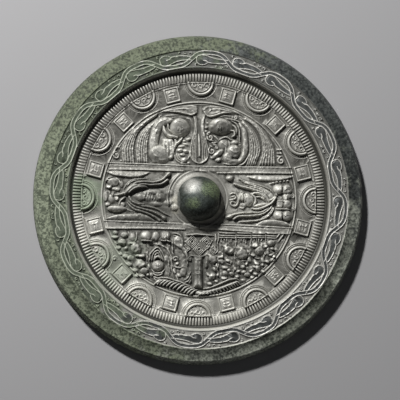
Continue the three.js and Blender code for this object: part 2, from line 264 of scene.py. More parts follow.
def fan(c, outer, inner, count):
    """A soft feathered lobe between two border lines, with fine lines along it and short scales across."""
    a, b = smooth(outer, 36), smooth(inner, 36)
    c.plate(np.vstack([a, b[::-1]]), 0.75, 1.6)
    c.stroke(a, 0.55, 0.35)
    for k in range(count):
        share = (k + 0.5) / count
        c.stroke(a + (b - a) * share, 0.8, 0.45 + 0.08 * (k % 3), taper=(0.6, 0.9), on_top=True)
    for k in range(4, 33):
        for m in range(count):
            if (k + m) % 3 == 0:
                here = a[k] + (b[k] - a[k]) * (m + 0.5) / count
                there = a[k + 1] + (b[k + 1] - a[k + 1]) * (m + 1.3) / count
                c.stroke([here, there], 0.45, 0.15, on_top=True)


# The band of scrolls on the rim: a flat ribbon in waves with a flat drop in each bend

def scroll_band(c, chance):
    """A flat ribbon that swings from side to side of the band, and a hooked drop in each of its bends."""
    for half in range(2 * RING_UNITS):
        start = 15.0 * half - 3.2
        side = 1 if half % 2 == 0 else -1

        def course(places, count=26):
            """Points given by degrees from the start of the bend and by millimetres towards its outside."""
            places = smooth(places, count)
            return polar(BAND_MIDDLE + side * places[:, 1], start + places[:, 0])

        def flat(places, widths):
            """A flat form along a line, of changing width; gives its two edges."""
            middle = course(places, 30)
            along = np.gradient(middle, axis=0)
            along /= np.linalg.norm(along, axis=1, keepdims=True)
            across = np.stack([-along[:, 1], along[:, 0]], axis=1)
            places, given = np.linspace(0, 1, len(middle)), np.linspace(0, 1, len(widths))
            half_width = np.interp(places, given, widths)[:, None] / 2
            left, right = middle + across * half_width, middle - across * half_width
            c.plate(np.vstack([left, right[::-1]]), PLATE, 0.12)
            return left, right

        def edge(line, width=0.72):
            """A thin raised outline."""
            c.stroke(line, width, OUTLINE, taper=(0.8, 0.8))

        wobble = chance.uniform(-0.15, 0.15)
        edges = flat([(-0.9, -0.9), (0.7, 0.7), (2.2, 2.1), (4.2, 3.0), (7.5, 3.25), (10.8, 3.0), (12.9, 2.0),
                      (14.3, 0.7), (15.6, -0.6)], (1.8, 1.8))
        for line in edges:
            edge(line)
        head = course([(4.2, -0.6 + wobble), (4.3, -0.6 + wobble)])[0]
        angle = np.radians(np.linspace(0, 360, 30))
        c.plate(np.stack([head[0] + 2.35 * np.cos(angle), head[1] + 2.35 * np.sin(angle)], axis=1), PLATE,
                0.12)
        flat([(4.6, -0.6), (7.5, -0.7), (10.5, -0.75), (13, -0.5), (15, -0.1)], (4.0, 3.0, 2.3, 1.8, 1.3))
        edge(course([(14.8, 0.6), (11.2, 0.45), (8.6, 0.75), (6.6, 1.4), (4.3, 1.95), (2.5, 1.3),
                     (1.95, -0.6), (2.4, -2.3), (4, -3.15), (5.6, -2.75), (6.4, -2.2)], 40))
        edge(course([(4.7, -0.8), (5.9, -1.0), (6.9, -1.8), (8.8, -2.0), (11, -1.9), (13.3, -1.5),
                     (14.8, -0.9)], 34), 0.7)
        for at, away, size, turn, sweep in ((-0.2, 2.7, 0.85, 200, -330), (1.5, -3.0, 0.7, 30, 330),
                                            (12.6, -3.2, 0.85, 120, 330), (10.4, -3.4, 0.6, 250, -330)):
            x, y = course([(at + wobble, away), (at + wobble + 0.1, away)])[0]
            c.stroke(coil(x, y, size, turn - start, sweep), 0.55, OUTLINE - 0.05)


# The ring of half-discs and framed squares

def ring_of_units(c, chance):
    """Half-discs and framed squares by turns, each a little off its even place."""
    for unit in range(RING_UNITS):
        half_disc(c, unit * 30 + 0.7 + chance.uniform(-0.3, 0.3), unit)
        framed_square(c, unit * 30 + 15.4 + chance.uniform(-0.3, 0.3), unit)


def turned(points, clockwise):
    """Points drawn at the top of the disc, turned clockwise to their place."""
    angle = math.radians(clockwise)
    x, y = np.asarray(points, dtype=float).T
    return np.stack([x * math.cos(angle) + y * math.sin(angle), y * math.cos(angle) - x * math.sin(angle)],
                    axis=1)


def half_disc(c, clockwise, unit):
    top = COMB_INNER_RADIUS + 0.1

    def bow(radius, start, end, drop=0.0, count=36):
        return turned(arc(0, top - drop, radius, start, end, count), clockwise)

    # Sunken ground with three pairs of curls, a thick rounded lip and a thin line outside it
    c.plate(bow(5.2, 180, 360, 0.3), 0.75, 0.2)
    c.stroke(bow(6.05, 184, 356, 0.5), 1.7, 1.7, taper=(0.85, 0.85), power=0.55)
    c.stroke(bow(4.9, 184, 356, 0.4), 0.5, 0.25, taper=(0.8, 0.8), on_top=True)
    for radius in (7.55, 8.35):
        c.stroke(bow(radius, 187, 353, 0.4), 0.5, 0.45, taper=(0.8, 0.8))
    for k, x in enumerate((-3.0, 0.0, 3.0)):
        drop = 1.9 if k != 1 else 2.7
        (p,) = turned([(x, top - drop)], clockwise)
        start = (90, 200, 40)[k] - clockwise + 25 * (unit % 3)
        c.stroke(coil(p[0], p[1], 1.3, start, (400, -400, 380)[k]), 0.6, 0.5, on_top=True)
        tail = [(x + 1.1, top - drop - 0.1), (x + 1.9, top - drop + 0.9), (x + 1.5, top - drop + 1.5)]
        c.stroke(turned(smooth(tail), clockwise), 0.5, 0.45, on_top=True)
    for dx, dy, size in ((-1.7, -4.1, 0.4), (1.8, -4.1, 0.4)):
        (p,) = turned([(dx, top + dy)], clockwise)
        c.dome(p[0], p[1], size, size, 0.35, on_top=True)


def framed_square(c, clockwise, unit):
    middle, half = 53.65, 3.8

    def box(size):
        corners = np.array([(-1, -1), (1, -1), (1, 1), (-1, 1), (-1, -1)]) * size
        return turned(corners + (0, middle), clockwise)

    c.plate(box(half)[:4], 0.75, 0.25)
    c.stroke(box(half - 0.4), 0.75, 0.5, taper=(1, 1), on_top=True)
    c.plate(box(half - 1.2)[:4], 0.25, 0.3, on_top=True)
    # Rows of shallow strokes in the place of an inscription
    for row in range(3):
        y = middle + 1.35 - 1.35 * row
        parts = 1 + (row + unit) % 2
        for column in range(parts):
            x = (column - (parts - 1) / 2) * 2.2
            reach = 1.5 if parts == 1 else 0.75
            lift = 0.3 * ((unit + 2 * row + column) % 3 - 1)
            c.stroke(turned(smooth([(x - reach, y - lift), (x, y + 0.2), (x + reach, y + lift)], 6),
                            clockwise), 0.62, 0.32, taper=(0.7, 0.7), on_top=True)
    x = 0.9 * ((unit % 3) - 1)
    c.stroke(turned([(x, middle - 1.5), (x, middle + 1.5)], clockwise), 0.5, 0.25, taper=(0.7, 0.7),
             on_top=True)
    # Lines that lead from the frame to the circles on both sides
    for side in (-1, 1):
        c.stroke(turned([(side * half, middle + 2.9), (side * (half + 1.6), middle + 4.9)], clockwise), 0.5,
                 0.35)


def lines(c, rows, width, height, **more):
    for places in rows:
        c.stroke(smooth(places), width, height, **more)


def lumps(c, rows, **more):
    """Rounded lumps, each given as x, y, two half-widths, height and turn."""
    for x, y, rx, ry, height, turn in rows:
        c.dome(x, y, rx, ry, height, turn, **more)


# Bars over and under the middle scene, and the leaves that lie along them

def bars(c):
    flat = [[(-45.5, 17.3), (0, 16.2), (0, 13.9), (-44.5, 14.5)],
            [(0, 16.2), (45.5, 16.1), (46.5, 13.2), (0, 13.6)],
            [(-47, -11.5), (0, -12.4), (0, -15.1), (-46, -15.1)],
            [(0, -12.7), (46, -14.4), (45, -17.2), (0, -15.0)]]
    for outline in flat:
        c.plate(outline, 0.4, 0.4)
    lines(c, [
        [(-45.6, 17.7), (-20, 17.0), (0, 16.2)], [(0, 16.3), (20, 16.1), (46, 16.1)],
        [(-44.8, 14.5), (-26, 14.4), (-8, 13.9)], [(9, 13.1), (26, 13.3), (46.8, 13.2)],
        [(-47.2, -11.3), (-30, -11.8), (-9, -12.4)], [(11, -12.7), (24, -13.2), (46.6, -14.3)],
        [(-46.2, -15.0), (-25, -14.8), (-7, -15.2)], [(10, -15.2), (26, -16.2), (45, -17.2)],
    ], 0.95, 0.85, taper=(0.7, 0.7))
    lines(c, [[(-45, 16.5), (-30, 16.1)], [(-36, 16.6), (-8, 15.9)], [(12, 15.1), (42, 15.3)],
              [(-44, -12.6), (-12, -13.3)], [(14, -14.2), (44, -15.7)]], 0.45, 0.55)
    leaf = dict(taper=(0.05, 0.1), power=0.8)
    c.stroke(smooth([(-46.5, 13.3), (-40, 12.6), (-32, 12.1), (-24.6, 13.2)]), 3.2, 1.15, lean=-0.75, **leaf)
    c.stroke(smooth([(24, 11.4), (33, 10.6), (40, 10.9), (47.2, 11.6)]), 2.9, 1.15, lean=-0.6, **leaf)
    c.stroke(smooth([(-47, -10.3), (-38, -9.5), (-28, -9.4), (-22, -11.2)]), 3.2, 1.15, lean=0.7, **leaf)
    c.stroke(smooth([(28, -13.2), (33, -11.8), (39, -11.7), (46.6, -13.3)]), 2.9, 1.1, lean=0.7, **leaf)


# The upper scene: two seated figures either side of a tall loop

def tall_loop(c):
    """Nested loops of line, narrow between the two heads and spreading into the plumes above them."""
    c.stroke(smooth([(-0.2, 32.6), (0.1, 27), (0.2, 21.6)]), 1.5, 1.1, taper=(0.2, 0.85))
    for half, height in ((1.7, 0.6), (2.6, 0.7), (3.5, 0.8), (4.4, 0.95)):
        bowl = arc(0.1, 17.9 + half, half, 180, 360, 16)
        neck = 0.55 + 0.36 * half
        for side in (-1, 1):
            line = [(0.1 + side * half, 17.9 + half), (0.1 + side * half, 24.5),
                    (side * (half * 0.6 + neck * 0.4), 29), (side * neck, 34.5), (side * neck, 39),
                    (side * (neck + 0.9), 42.4)]
            c.stroke(smooth(line, 20), 0.6, height, taper=(0.9, 0.4))
        c.stroke(bowl, 0.6, height, taper=(1, 1))


def pad(c, places, height, edge=1.0, count=40, on_top=False):
    """A raised form on a smooth closed outline, with rounded edges."""
    closed = np.vstack([places, places[:1]])
    c.plate(smooth(closed, count)[:-1], height, edge, on_top)


def face(c, x, y, size, turn=0.0):
    """A calm, plain face: brow, nose, two lidded eyes and a small mouth on an even oval."""
    cos, sin = math.cos(math.radians(turn)), math.sin(math.radians(turn))

    def at(u, v):
        return x + size * (u * cos - v * sin), y + size * (u * sin + v * cos)

    c.stroke([at(0, 0.3), at(0, -0.25)], 0.3 * size, 0.4, on_top=True)
    c.dome(*at(0, -0.28), 0.2 * size, 0.14 * size, 0.22, turn, on_top=True)
    for side in (-1, 1):
        c.stroke(smooth([at(side * 0.15, 0.34), at(side * 0.4, 0.42), at(side * 0.66, 0.28)]), 0.16 * size,
                 0.28, on_top=True)
        c.dome(*at(side * 0.38, 0.12), 0.2 * size, 0.12 * size, 0.3, turn, on_top=True)
    c.stroke([at(-0.2, -0.56), at(0.2, -0.56)], 0.16 * size, 0.26, on_top=True)


def left_seated(c):
    fan(c, [(-20.5, 43.2), (-27, 39.5), (-32.5, 35.2), (-36.8, 30), (-38.9, 24), (-38.4, 17.6)],
        [(-21.5, 41.4), (-27.5, 36.4), (-31, 31.5), (-32.5, 25), (-32.1, 17.6)], 5)
    fan(c, [(-20.4, 40.6), (-26.6, 36), (-30.4, 30.6), (-31.8, 24), (-31.3, 17.6)],
        [(-20.8, 38.6), (-24.4, 33), (-25.6, 28), (-25.8, 23), (-25.4, 17.6)], 5)
    lines(c, [[(-19, 45.1), (-27, 40.6), (-34, 34), (-39.6, 26.6)]], 0.6, 0.5)
    c.stroke(smooth([(-12.6, 39.4), (-17.6, 38.8), (-20.8, 36), (-22.4, 31.6), (-22.9, 27.2), (-22.6, 22.6)]),
             5.0, 2.0, taper=(0.3, 0.8), power=0.5)
    c.dome(-19.6, 22.2, 6.1, 4.8, 3.5, -6, power=0.9, peak=(-0.35, 0.5))
    lines(c, [[(-16, 39.8), (-20.4, 38), (-22.8, 34)], [(-20.8, 35.6), (-22, 31.8), (-22, 28)],
              [(-24, 31), (-24.6, 27), (-24.4, 23.6)], [(-22.2, 27), (-21.6, 24.4), (-19.8, 22.8)],
              [(-23.8, 24), (-22.6, 21.6), (-20.6, 20.6)], [(-19.4, 25.6), (-17.2, 24.6), (-15.6, 22.6)],
              [(-21, 19.6), (-18.6, 19.2), (-16.4, 19.8)]], 0.7, 0.3, on_top=True)
    # Sleeve folded round the head, then the head over it
    lines(c, [[(-18.0, 37.2), (-17.4, 33.8), (-15.0, 31.5), (-11.2, 30.8)]], 2.0, 2.0, taper=(0.4, 0.7))
    lines(c, [[(-15.7, 37.9), (-15.4, 35), (-13.6, 32.9)]], 0.9, 1.7)
    c.dome(-9.7, 35.6, 5.3, 5.2, 3.9, power=0.85, peak=(-0.38, 0.45))
    c.stroke(arc(-9.7, 35.9, 3.9, 15, 165), 0.8, 0.3, on_top=True)
    c.stroke(arc(-9.7, 35.9, 2.9, 30, 150), 0.7, 0.25, on_top=True)
    face(c, -9.6, 34.2, 3.0, 4)
    # Robe over the chest
    pad(c, [(-18.3, 30), (-15.6, 30.2), (-13, 29.6), (-12.2, 25), (-13, 20.6), (-15.2, 19.6), (-17.4, 21.6),
            (-18.7, 25.4)], 1.3, 0.7)
    lines(c, [[(-17.3, 29.6), (-17.6, 25.6), (-16.8, 22)], [(-15.9, 29.8), (-15.8, 25.4), (-15.6, 20.8)],
              [(-14.5, 29.6), (-14, 25.4), (-14.2, 21)], [(-13.2, 28.6), (-12.8, 25), (-13.2, 22.4)]], 0.75,
          0.4, on_top=True)
    lines(c, [[(-12.8, 30.4), (-11.6, 28.6), (-12.2, 26)],
              [(-8.4, 30.6), (-9.8, 28.8), (-11.6, 27.2), (-12.4, 24.6)]], 1.3, 1.3, taper=(0.5, 0.6))
    lumps(c, [
        (-9.6, 24.3, 1.7, 0.95, 1.3, 12), (-6.7, 24.0, 1.5, 0.9, 1.2, -8), (-8.8, 26.3, 1.7, 0.65, 1.0, 8),
        (-6.4, 27.3, 1.6, 0.6, 0.9, -14), (-5.3, 30.0, 1.2, 0.7, 1.3, 28), (-7.5, 19.4, 1.8, 1.4, 1.3, 20),
        (-8.4, 22.2, 1.5, 0.8, 1.0, 0), (-5.2, 18, 0.9, 0.6, 0.7, 0), (-7.4, 29, 0.8, 0.6, 0.9, 0),
        (-22.4, 18.8, 1.4, 1.1, 1.0, 0),
    ])
    for radius in (4.0, 2.9, 1.9):
        c.stroke(arc(-8.3, 22.0, radius, 165, 285, 12), 0.75, 1.0, taper=(0.5, 0.4))
    lines(c, [[(-5.0, 24.6), (-4.6, 22.2), (-5.6, 19.8)], [(-9.8, 17.8), (-8, 17.4), (-6, 17.4)]], 0.75, 0.8)
    # Plume over the head
    pad(c, [(-0.7, 45.3), (-1.3, 43), (-3.6, 41.6), (-7, 42.2), (-12, 43.2), (-19, 43.4), (-16, 44.9),
            (-10, 46.2), (-4, 47), (-1.4, 46.9)], 0.75, 0.8)
    lines(c, [
        [(-1.2, 46.4), (-3.6, 46.8), (-8, 46.5), (-13, 45.6), (-18.6, 44)],
        [(-3.6, 44.9), (-7.6, 45.2), (-12, 44.9), (-17, 43.9)],
        [(-1.2, 43.6), (-3.8, 42.2), (-7, 42.8), (-11, 43.7), (-15.6, 43.8)],
    ], 0.85, 0.5, taper=(0.6, 0.3), on_top=True)
    c.dome(-4.4, 44.2, 2.4, 1.0, 0.5, -18, on_top=True)
    lines(c, [[(-10, 41.9), (-14.4, 41.9), (-18, 41.2)], [(-5.6, 40.6), (-9, 41), (-13, 40.7), (-20.4, 39.8)],
              [(-3.6, 38.4), (-4.4, 40), (-6.4, 40.4)]], 0.7, 0.5)
    curl(c, -18.9, 40.4, 1.4, 90)
    end_curls(c, -1)


def end_curls(c, side):
    if side < 0:
        curl(c, -41.2, 21.5, 1.9, 100, 400, 0.95, 0.8)
        c.stroke(arc(-40.3, 24.4, 1.3, -60, 200), 0.7, 0.6)
        lumps(c, [(-37.8, 20.4, 0.6, 0.5, 0.5, 0), (-38.9, 18.7, 0.6, 0.4, 0.5, 0),
                  (-37.4, 18.5, 0.5, 0.4, 0.5, 0), (-39.6, 26.4, 0.7, 0.4, 0.5, 40)])
    else:
        curl(c, 41.2, 19.5, 1.9, 100, 400, 1.1, 0.9)
        for y in (25.2, 23.4, 21.7):
            c.stroke([(39.2, y), (41.3, y - 0.2)], 0.95, 0.8, taper=(0.6, 0.6))


def right_seated(c):
    fan(c, [(23.5, 41.8), (29.6, 37.6), (34.4, 32), (37.6, 25.6), (38.6, 17.2)],
        [(22.6, 40.4), (28, 36), (31, 30.4), (31.6, 24), (29.6, 17.2)], 6)
    fan(c, [(21.8, 39.8), (27, 35.2), (30, 30), (30.9, 24), (28.4, 17.2)],
        [(21.4, 38.2), (24, 34), (24.9, 29), (24.9, 24), (23.6, 17.2)], 5)
    lines(c, [[(25, 42.2), (33.4, 35), (39.2, 27), (42, 20.6)]], 0.6, 0.45)
    c.stroke(smooth([(20.4, 38.2), (22.5, 34), (23.2, 28.6), (23, 24.2), (21.4, 20.6), (18.4, 18.2)]),
             3.2, 1.4, taper=(0.4, 0.5), power=0.5)
    lines(c, [[(15.4, 39.6), (19, 37.6), (20.2, 33.6), (20.3, 28.8)],
              [(9.6, 39.9), (14.6, 40.2), (19.2, 39.3), (21.8, 37.8)]], 0.9, 1.3)
    c.dome(10.7, 36.3, 6.6, 4.5, 4.0, power=0.9, peak=(-0.2, 0.55))
    c.stroke(arc(10.6, 36.2, 3.9, 15, 165), 0.8, 0.3, on_top=True)
    c.stroke(arc(10.6, 36.2, 2.9, 30, 150), 0.7, 0.25, on_top=True)
    face(c, 10.4, 35.0, 2.7, -3)
    lumps(c, [(3.8, 35.9, 1.1, 0.8, 1.0, 20), (3.4, 33.9, 0.9, 0.7, 0.8, 0), (5.2, 33.3, 0.8, 0.6, 0.8, 0),
              (4.4, 38.0, 0.9, 0.8, 0.7, 0), (12.3, 27.5, 2.7, 2.7, 0.8, 0), (17.2, 23.8, 3.8, 3.7, 2.5, 0),
              (14.5, 20.8, 2.9, 3.0, 2.0, -18), (17.0, 18.9, 4.3, 1.5, 1.7, 2),
              (9.3, 22.6, 3.7, 1.5, 1.7, 38), (9.6, 19.7, 1.8, 1.2, 1.3, 20), (17.6, 28.2, 2.2, 1.3, 1.1, 10),
              (7.8, 27.2, 1.4, 0.7, 0.9, -20), (6.6, 20.6, 1.0, 0.8, 0.8, 0)], peak=(-0.2, 0.3))
    lines(c, [[(15.6, 34.6), (17.4, 34.0), (17.8, 32.2), (16.4, 31.2)],
              [(16.6, 37.6), (18.4, 35.6), (18.9, 32.8)]], 1.2, 1.7)
    lines(c, [[(9.6, 29.5), (12.2, 31), (14, 31), (16, 29.7), (18.9, 29.2)],
              [(7.2, 31.8), (8.8, 30.4), (10.2, 28.8)], [(13.6, 26.8), (13, 22.8), (11.6, 19.4)],
              [(4.8, 29.6), (7.4, 29.2)], [(6, 28), (8.8, 28.4)], [(12.2, 17.9), (16, 17.5), (19.8, 17.9)],
              [(19.8, 16.9), (22.6, 18.2), (24.3, 21), (25, 22.8)], [(14.9, 29.2), (15.2, 27), (14.6, 24.8)],
              [(5.4, 26.8), (6.8, 25.8)]], 0.95, 1.1)
    lines(c, [[(15.4, 24.6), (17.4, 23.4), (19.8, 24)], [(15, 26), (17.2, 25.4), (19.6, 26)],
              [(14.8, 22.6), (16.6, 21.4), (19.6, 21.8)], [(13, 20.6), (14.8, 19.8), (16.8, 20.2)],
              [(11.4, 28.6), (13.4, 27), (14, 25.6)], [(8, 21.8), (10, 23.2)], [(18, 27), (19.2, 24.6)]],
          0.65, 0.3, on_top=True)
    for y in (26, 27.2, 28.4, 29.6):
        c.stroke([(19.9, y), (21.2, y)], 0.5, 0.3, on_top=True)
    curl(c, 5.5, 30.8, 1.7, 150, 380, 0.95, 1.3)
    curl(c, 6.4, 24.1, 1.9, 120, 380, 0.95, 1.2)
    curl(c, 8.9, 25.8, 0.8, 60)
    curl(c, 4.4, 32.6, 0.7, 0)
    # Plume over the head
    pad(c, [(1.7, 45.2), (2.2, 43.1), (4, 41.2), (6, 40.7), (9, 41.6), (13, 42.8), (18, 43), (22.4, 42.3),
            (18, 44.6), (12, 46.2), (6, 46.7), (3.4, 46.6)], 0.75, 0.8)
    lines(c, [
        [(2.4, 45.6), (4.4, 46.4), (9, 46.4), (14.6, 45.4), (20.4, 43.4)],
        [(4.8, 43.6), (6.2, 44.9), (9.4, 45.1), (13, 44.6), (17.4, 43.6)],
        [(2.6, 43.6), (3.8, 42.1), (5.8, 41.4), (8.6, 42.2), (12.6, 43.4), (17.6, 43.1)],
    ], 0.85, 0.5, taper=(0.6, 0.3), on_top=True)
    c.stroke([(2.2, 44.8), (4, 46.2)], 1.5, 0.6, taper=(0.8, 0.8), on_top=True)
    lines(c, [[(5.6, 42.9), (8.6, 43.3), (11, 43.9)]], 0.9, 0.4, on_top=True)
    lines(c, [
        [(10, 41.4), (13.4, 41.9), (16.4, 41.4)], [(20, 42), (23.4, 39.6)], [(20.6, 40.8), (23.6, 38.4)]
    ], 0.6, 0.5)
    curl(c, 18.6, 40.9, 1.1, 0)
    c.dome(17.0, 41.2, 0.5, 0.5, 0.6)
    end_curls(c, 1)


# The middle scene: a lying creature on each side of the knob

def left_creature(c):
    # Two long flares over the body and two under it, joined by the ring
    c.plate(np.vstack([smooth([(-37.6, 2), (-35.8, 5.4), (-33, 8.2), (-27, 8.8)]),
                       smooth([(-27, 6.6), (-31.6, 6.4), (-34.4, 3.6), (-35.6, 1.6)])]), 1.2, 1.6)
    lines(c, [[(-37.7, 4.4), (-36.3, 6.8), (-34.4, 8.7), (-31.6, 9.8), (-26, 9.9)],
              [(-36.6, 5), (-35, 7.4), (-32.4, 9), (-28, 9.2)]], 0.7, 0.9)
    lines(c, [[(-34.6, 5.4), (-31.6, 7.9), (-26.9, 8.4), (-22.2, 8.3), (-18.5, 9.6), (-15.6, 12.2)],
              [(-33, 5), (-29.3, 7), (-24.6, 6.9), (-19.9, 7.1), (-17.6, 8.1), (-15.9, 9.4)]], 1.3, 1.9,
          taper=(0.5, 1))
    c.dome(-15.5, 12.2, 1.6, 1.1, 2.2, 35)
    lines(c, [[(-37.2, 2.2), (-34.9, 4.7), (-32.4, 6.4), (-29.6, 6.6)]], 2.6, 2.2, taper=(0.5, 0.2))
    lines(c, [[(-35.4, 2.6), (-33.4, 4.4), (-30.6, 5.7), (-27.2, 5.9), (-25.4, 5.2)]], 1.6, 2.2,
          taper=(0.5, 0.2))
    lines(c, [[(-41.6, 1.8), (-39, 2.1), (-36.6, 3.1)],
              [(-36.9, 0.6), (-38.8, -0.8), (-39.9, -2.6), (-40.3, -4)]], 1.3, 1.5, taper=(0.5, 0.6))
    lines(c, [[(-34.9, 1), (-33.6, -1.2), (-31, -2.6), (-27, -2.9)]], 1.5, 1.6, taper=(0.4, 0.2))
    lines(c, [[(-34.1, -0.7), (-31.6, -2.7), (-28.3, -3.7), (-24.1, -4.3), (-20.4, -5.5), (-17.6, -7.1),
               (-14.3, -8.9)]], 1.0, 1.2)
    lines(c, [[(-35, -1.6), (-32.5, -3.8), (-28.8, -5.1), (-24.1, -6.2), (-20.4, -8), (-17.4, -9.7)],
              [(-35.8, -2.3), (-33, -5), (-29.3, -6.4), (-26, -7.3), (-22.2, -9.2), (-19.6, -11)]],
          1.3, 1.7, taper=(0.4, 1))
    c.dome(-17.7, -9.6, 1.5, 1.0, 2.1, -38)
    lines(c, [[(-37.4, -4.4), (-34.4, -6.1), (-29.4, -7)], [(-33.6, -7.3), (-27, -7.9)]], 0.7, 0.7)
    # Body with its limbs drawn up, worn smooth towards the knob
    pad(c, [(-33, 1.2), (-28.6, 3.6), (-22, 5.2), (-15, 5.4), (-11.6, 3), (-11, -5.6), (-15.4, -6),
            (-22, -4.2), (-29, -1.9)], 0.45, 1.8)
    shaded(c, [(-19.4, 0.6, 2.8, 2.2, 1.1), (-24.4, -0.2, 2.4, 1.6, 0.7), (-14.6, 2.8, 2.0, 1.6, 0.6)],
           on_top=True)
    facing(c, [(-29.2, 0.9, 2.9, 1.9, 0.9), (-22, 3.4, 3.2, 1.3, 0.6), (-21.6, -2.6, 3.4, 1.3, 0.5),
               (-12.4, -4.4, 1.9, 1.6, 0.6), (-15.6, -2, 2.4, 1.4, 0.4)], on_top=True)
    for k in range(6):
        c.stroke([(-26.4 + 1.15 * k, 3.2 - 0.3 * k), (-27.4 + 1.2 * k, -0.8 - 0.2 * k)], 0.55, 0.35,
                 on_top=True)
    # Small figure bent over by the ring
    shaded(c, [(-42.8, 8.1, 3.0, 2.2, 1.5), (-41, -5.2, 4.8, 1.8, 2.3), (-43.6, -0.2, 1.9, 2.3, 1.4),
               (-38.7, 7, 1.0, 1.6, 1.1)])
    facing(c, [(-45, 5.7, 1.5, 1.0, 1.6), (-41.4, 4.6, 2.0, 1.2, 1.2), (-46.8, 0.8, 1.3, 2.6, 0.8),
               (-41, 0.2, 1.1, 1.2, 1.0), (-38.4, -3, 1.5, 1.3, 1.2), (-45.6, -3, 1.4, 1.0, 0.9)])
    lines(c, [[(-46.6, 8.2), (-45.4, 10.2), (-43, 10.6)], [(-41.6, 10.2), (-39.8, 8.8), (-39.2, 6.2)],
              [(-46.2, 9.2), (-44.4, 9.4)], [(-45, 3.6), (-44.4, 1.6)], [(-43, 3), (-42.2, 1.2)]], 0.9, 1.3)


def right_creature(c):
    # Long flares that spread from one stem by the ring
    c.plate(np.vstack([smooth([(25, 7.6), (30, 6.5), (34.5, 5), (37.4, 2.6), (37.9, 0.6)]),
                       smooth([(35.4, -0.6), (33, 2.2), (29.4, 4.1), (25, 5.6)])]), 1.1, 1.2)
    lines(c, [
        [(19.7, 10.2), (24.4, 8.5), (29.4, 7.2), (34.5, 5.5), (37.4, 2.9), (38.1, 0.8)],
        [(22.4, 8.4), (26.6, 7), (31.7, 5.2), (35, 2.6), (36.4, 0)],
        [(21, 9.2), (28, 6.9), (33, 5), (36.2, 2.2), (37.2, 0.2)],
        [(24, 6.8), (29, 5.5), (32.6, 3.6), (34.8, 1.4), (35.9, -0.6)],
    ], 0.7, 1.5, taper=(0.5, 0.5))
    lines(c, [[(17.6, 7.6), (20.4, 6.6), (24.4, 5.6), (29.4, 4.2), (32.8, 2.4), (35.2, -0.8)]],
          1.3, 1.9, taper=(0.8, 0.5))
    c.dome(15.2, 10.5, 1.9, 1.4, 2.2, 10)
    lines(c, [[(26.1, 2.6), (28.6, 3.3), (32, 2), (34.5, -0.6), (34.9, -1.8)]], 1.7, 1.6)
    lines(c, [[(28, 1.2), (30.6, 1.2), (33, -0.4), (34.2, -1.8)], [(34.2, -0.6), (36.4, 0), (38.3, 1.6)]],
          1.0, 1.5)
    lines(c, [[(26.4, -4.6), (29, -4.8), (32.6, -3.9), (36, -2), (38.4, 1)]], 1.5, 2.3, taper=(0.3, 0.6))
    lines(c, [[(27.4, -3.4), (30.6, -2.8), (34.8, -2.2)]], 1.8, 1.7)
    lines(c, [[(26.4, 2.4), (28, 0.8), (28.3, -1.2), (27.2, -3)]], 1.2, 1.6, taper=(0.5, 0.5))
    shaded(c, [(24.9, -0.7, 2.6, 2.9, 2.3), (22, -3.1, 1.7, 1.1, 1.4)])
    facing(c, [(21.4, 1.2, 1.9, 2.2, 1.4), (24, 2.3, 1.6, 0.8, 1.3)])
    for x in (20.2, 21.5, 22.8):
        c.stroke(smooth([(x, 2.8), (x + 0.2, 0.9), (x, -1.6)]), 0.75, 0.7, on_top=True)
    lines(c, [[(20.3, 3.1), (21.2, 3.5), (22.6, 3)], [(20.2, -3.9), (21.4, -4.5), (22.6, -4.1)]], 0.8, 1.2)
    # Pair of scrolls by the knob
    lines(c, [[(15.7, 2.4), (16.8, 3), (18.6, 2.5), (19.6, 0.8), (19.4, -1.8), (18, -3.4), (16.2, -3),
               (15.8, -1.7), (16.9, -1), (18, -1.7)],
              [(16.2, 1.1), (17.6, 1.5), (18.2, 0.8), (17.4, 0.1), (15.4, -0.4)]], 0.9, 1.2, taper=(0.7, 0.7))
    lines(c, [
        [(13.8, -9), (18, -7.5), (24.4, -6.6), (30.3, -6.5), (34.5, -4.6), (36.8, -2.8)],
        [(17.2, -9.9), (20.1, -8.5), (26.5, -8.2), (31.5, -7.3), (35.2, -5), (36.8, -2.8)],
    ], 1.1, 1.8, taper=(1, 0.5))
    c.dome(15.2, -8.7, 2.1, 1.1, 2.0, 24)
    lines(c, [[(31, -9.5), (34.2, -7.9), (36.2, -5.6), (37.2, -3)],
              [(19.7, -11.4), (24.4, -11), (30.7, -10.3), (34.5, -8.4), (36.9, -5.6), (37.7, -3)]], 0.9, 1.2)
    # Two fluted shells and the body between them, by the ring
    for y in (5.2, -8):
        c.dome(39.9, y, 2.9, 2.5, 2.2, 0, peak=(0.2, -0.3))
        c.dome(43.9, y - 0.2, 2.9, 2.6, 2.0, 0, peak=(-0.3, -0.3))
        c.stroke([(41.6, y + 1.6), (41.7, y - 2.4)], 0.8, -1.2, on_top=True)
        for k in range(4):
            c.stroke(smooth([(42.4, y - 0.9 + 0.6 * k), (44, y + 0.3 + 0.6 * k), (45.6, y + 0.2 + 0.6 * k)]),
                     0.5, 0.5, on_top=True)
    shaded(c, [(44.3, -2.5, 2.0, 2.3, 1.8), (45, 1.8, 1.5, 1.4, 1.3)])
    facing(c, [(43.2, 1.2, 1.4, 2.0, 1.5), (38.7, 3, 0.8, 1.3, 1.0)])
    c.plate([(38.9, -0.6), (42.2, -0.8), (42, -4.4), (38.8, -4)], 0.9, 0.6)
    lines(c, [[(42.6, 3), (44.6, 3.4), (46.4, 5.2)], [(38.8, -0.8), (42.2, -1)],
              [(38.4, -4.7), (42, -4.8), (45.6, -5.2)], [(42.2, -1.4), (43.4, -0.2)]], 0.8, 1.3)
    for x, y in ((36, 8.0), (37.4, 8.4), (39, 8.8), (40.8, 9), (42.6, 9.2), (44.4, 9.5)):
        c.dome(x, y, 0.75, 0.45, 1.0, 15)
    curl(c, 47.2, 1.8, 1.15, 100)
    curl(c, 47.3, -4.5, 1.0, 250)


# The lower scene: a pillar between two hanging ropes, rows of small figures either side

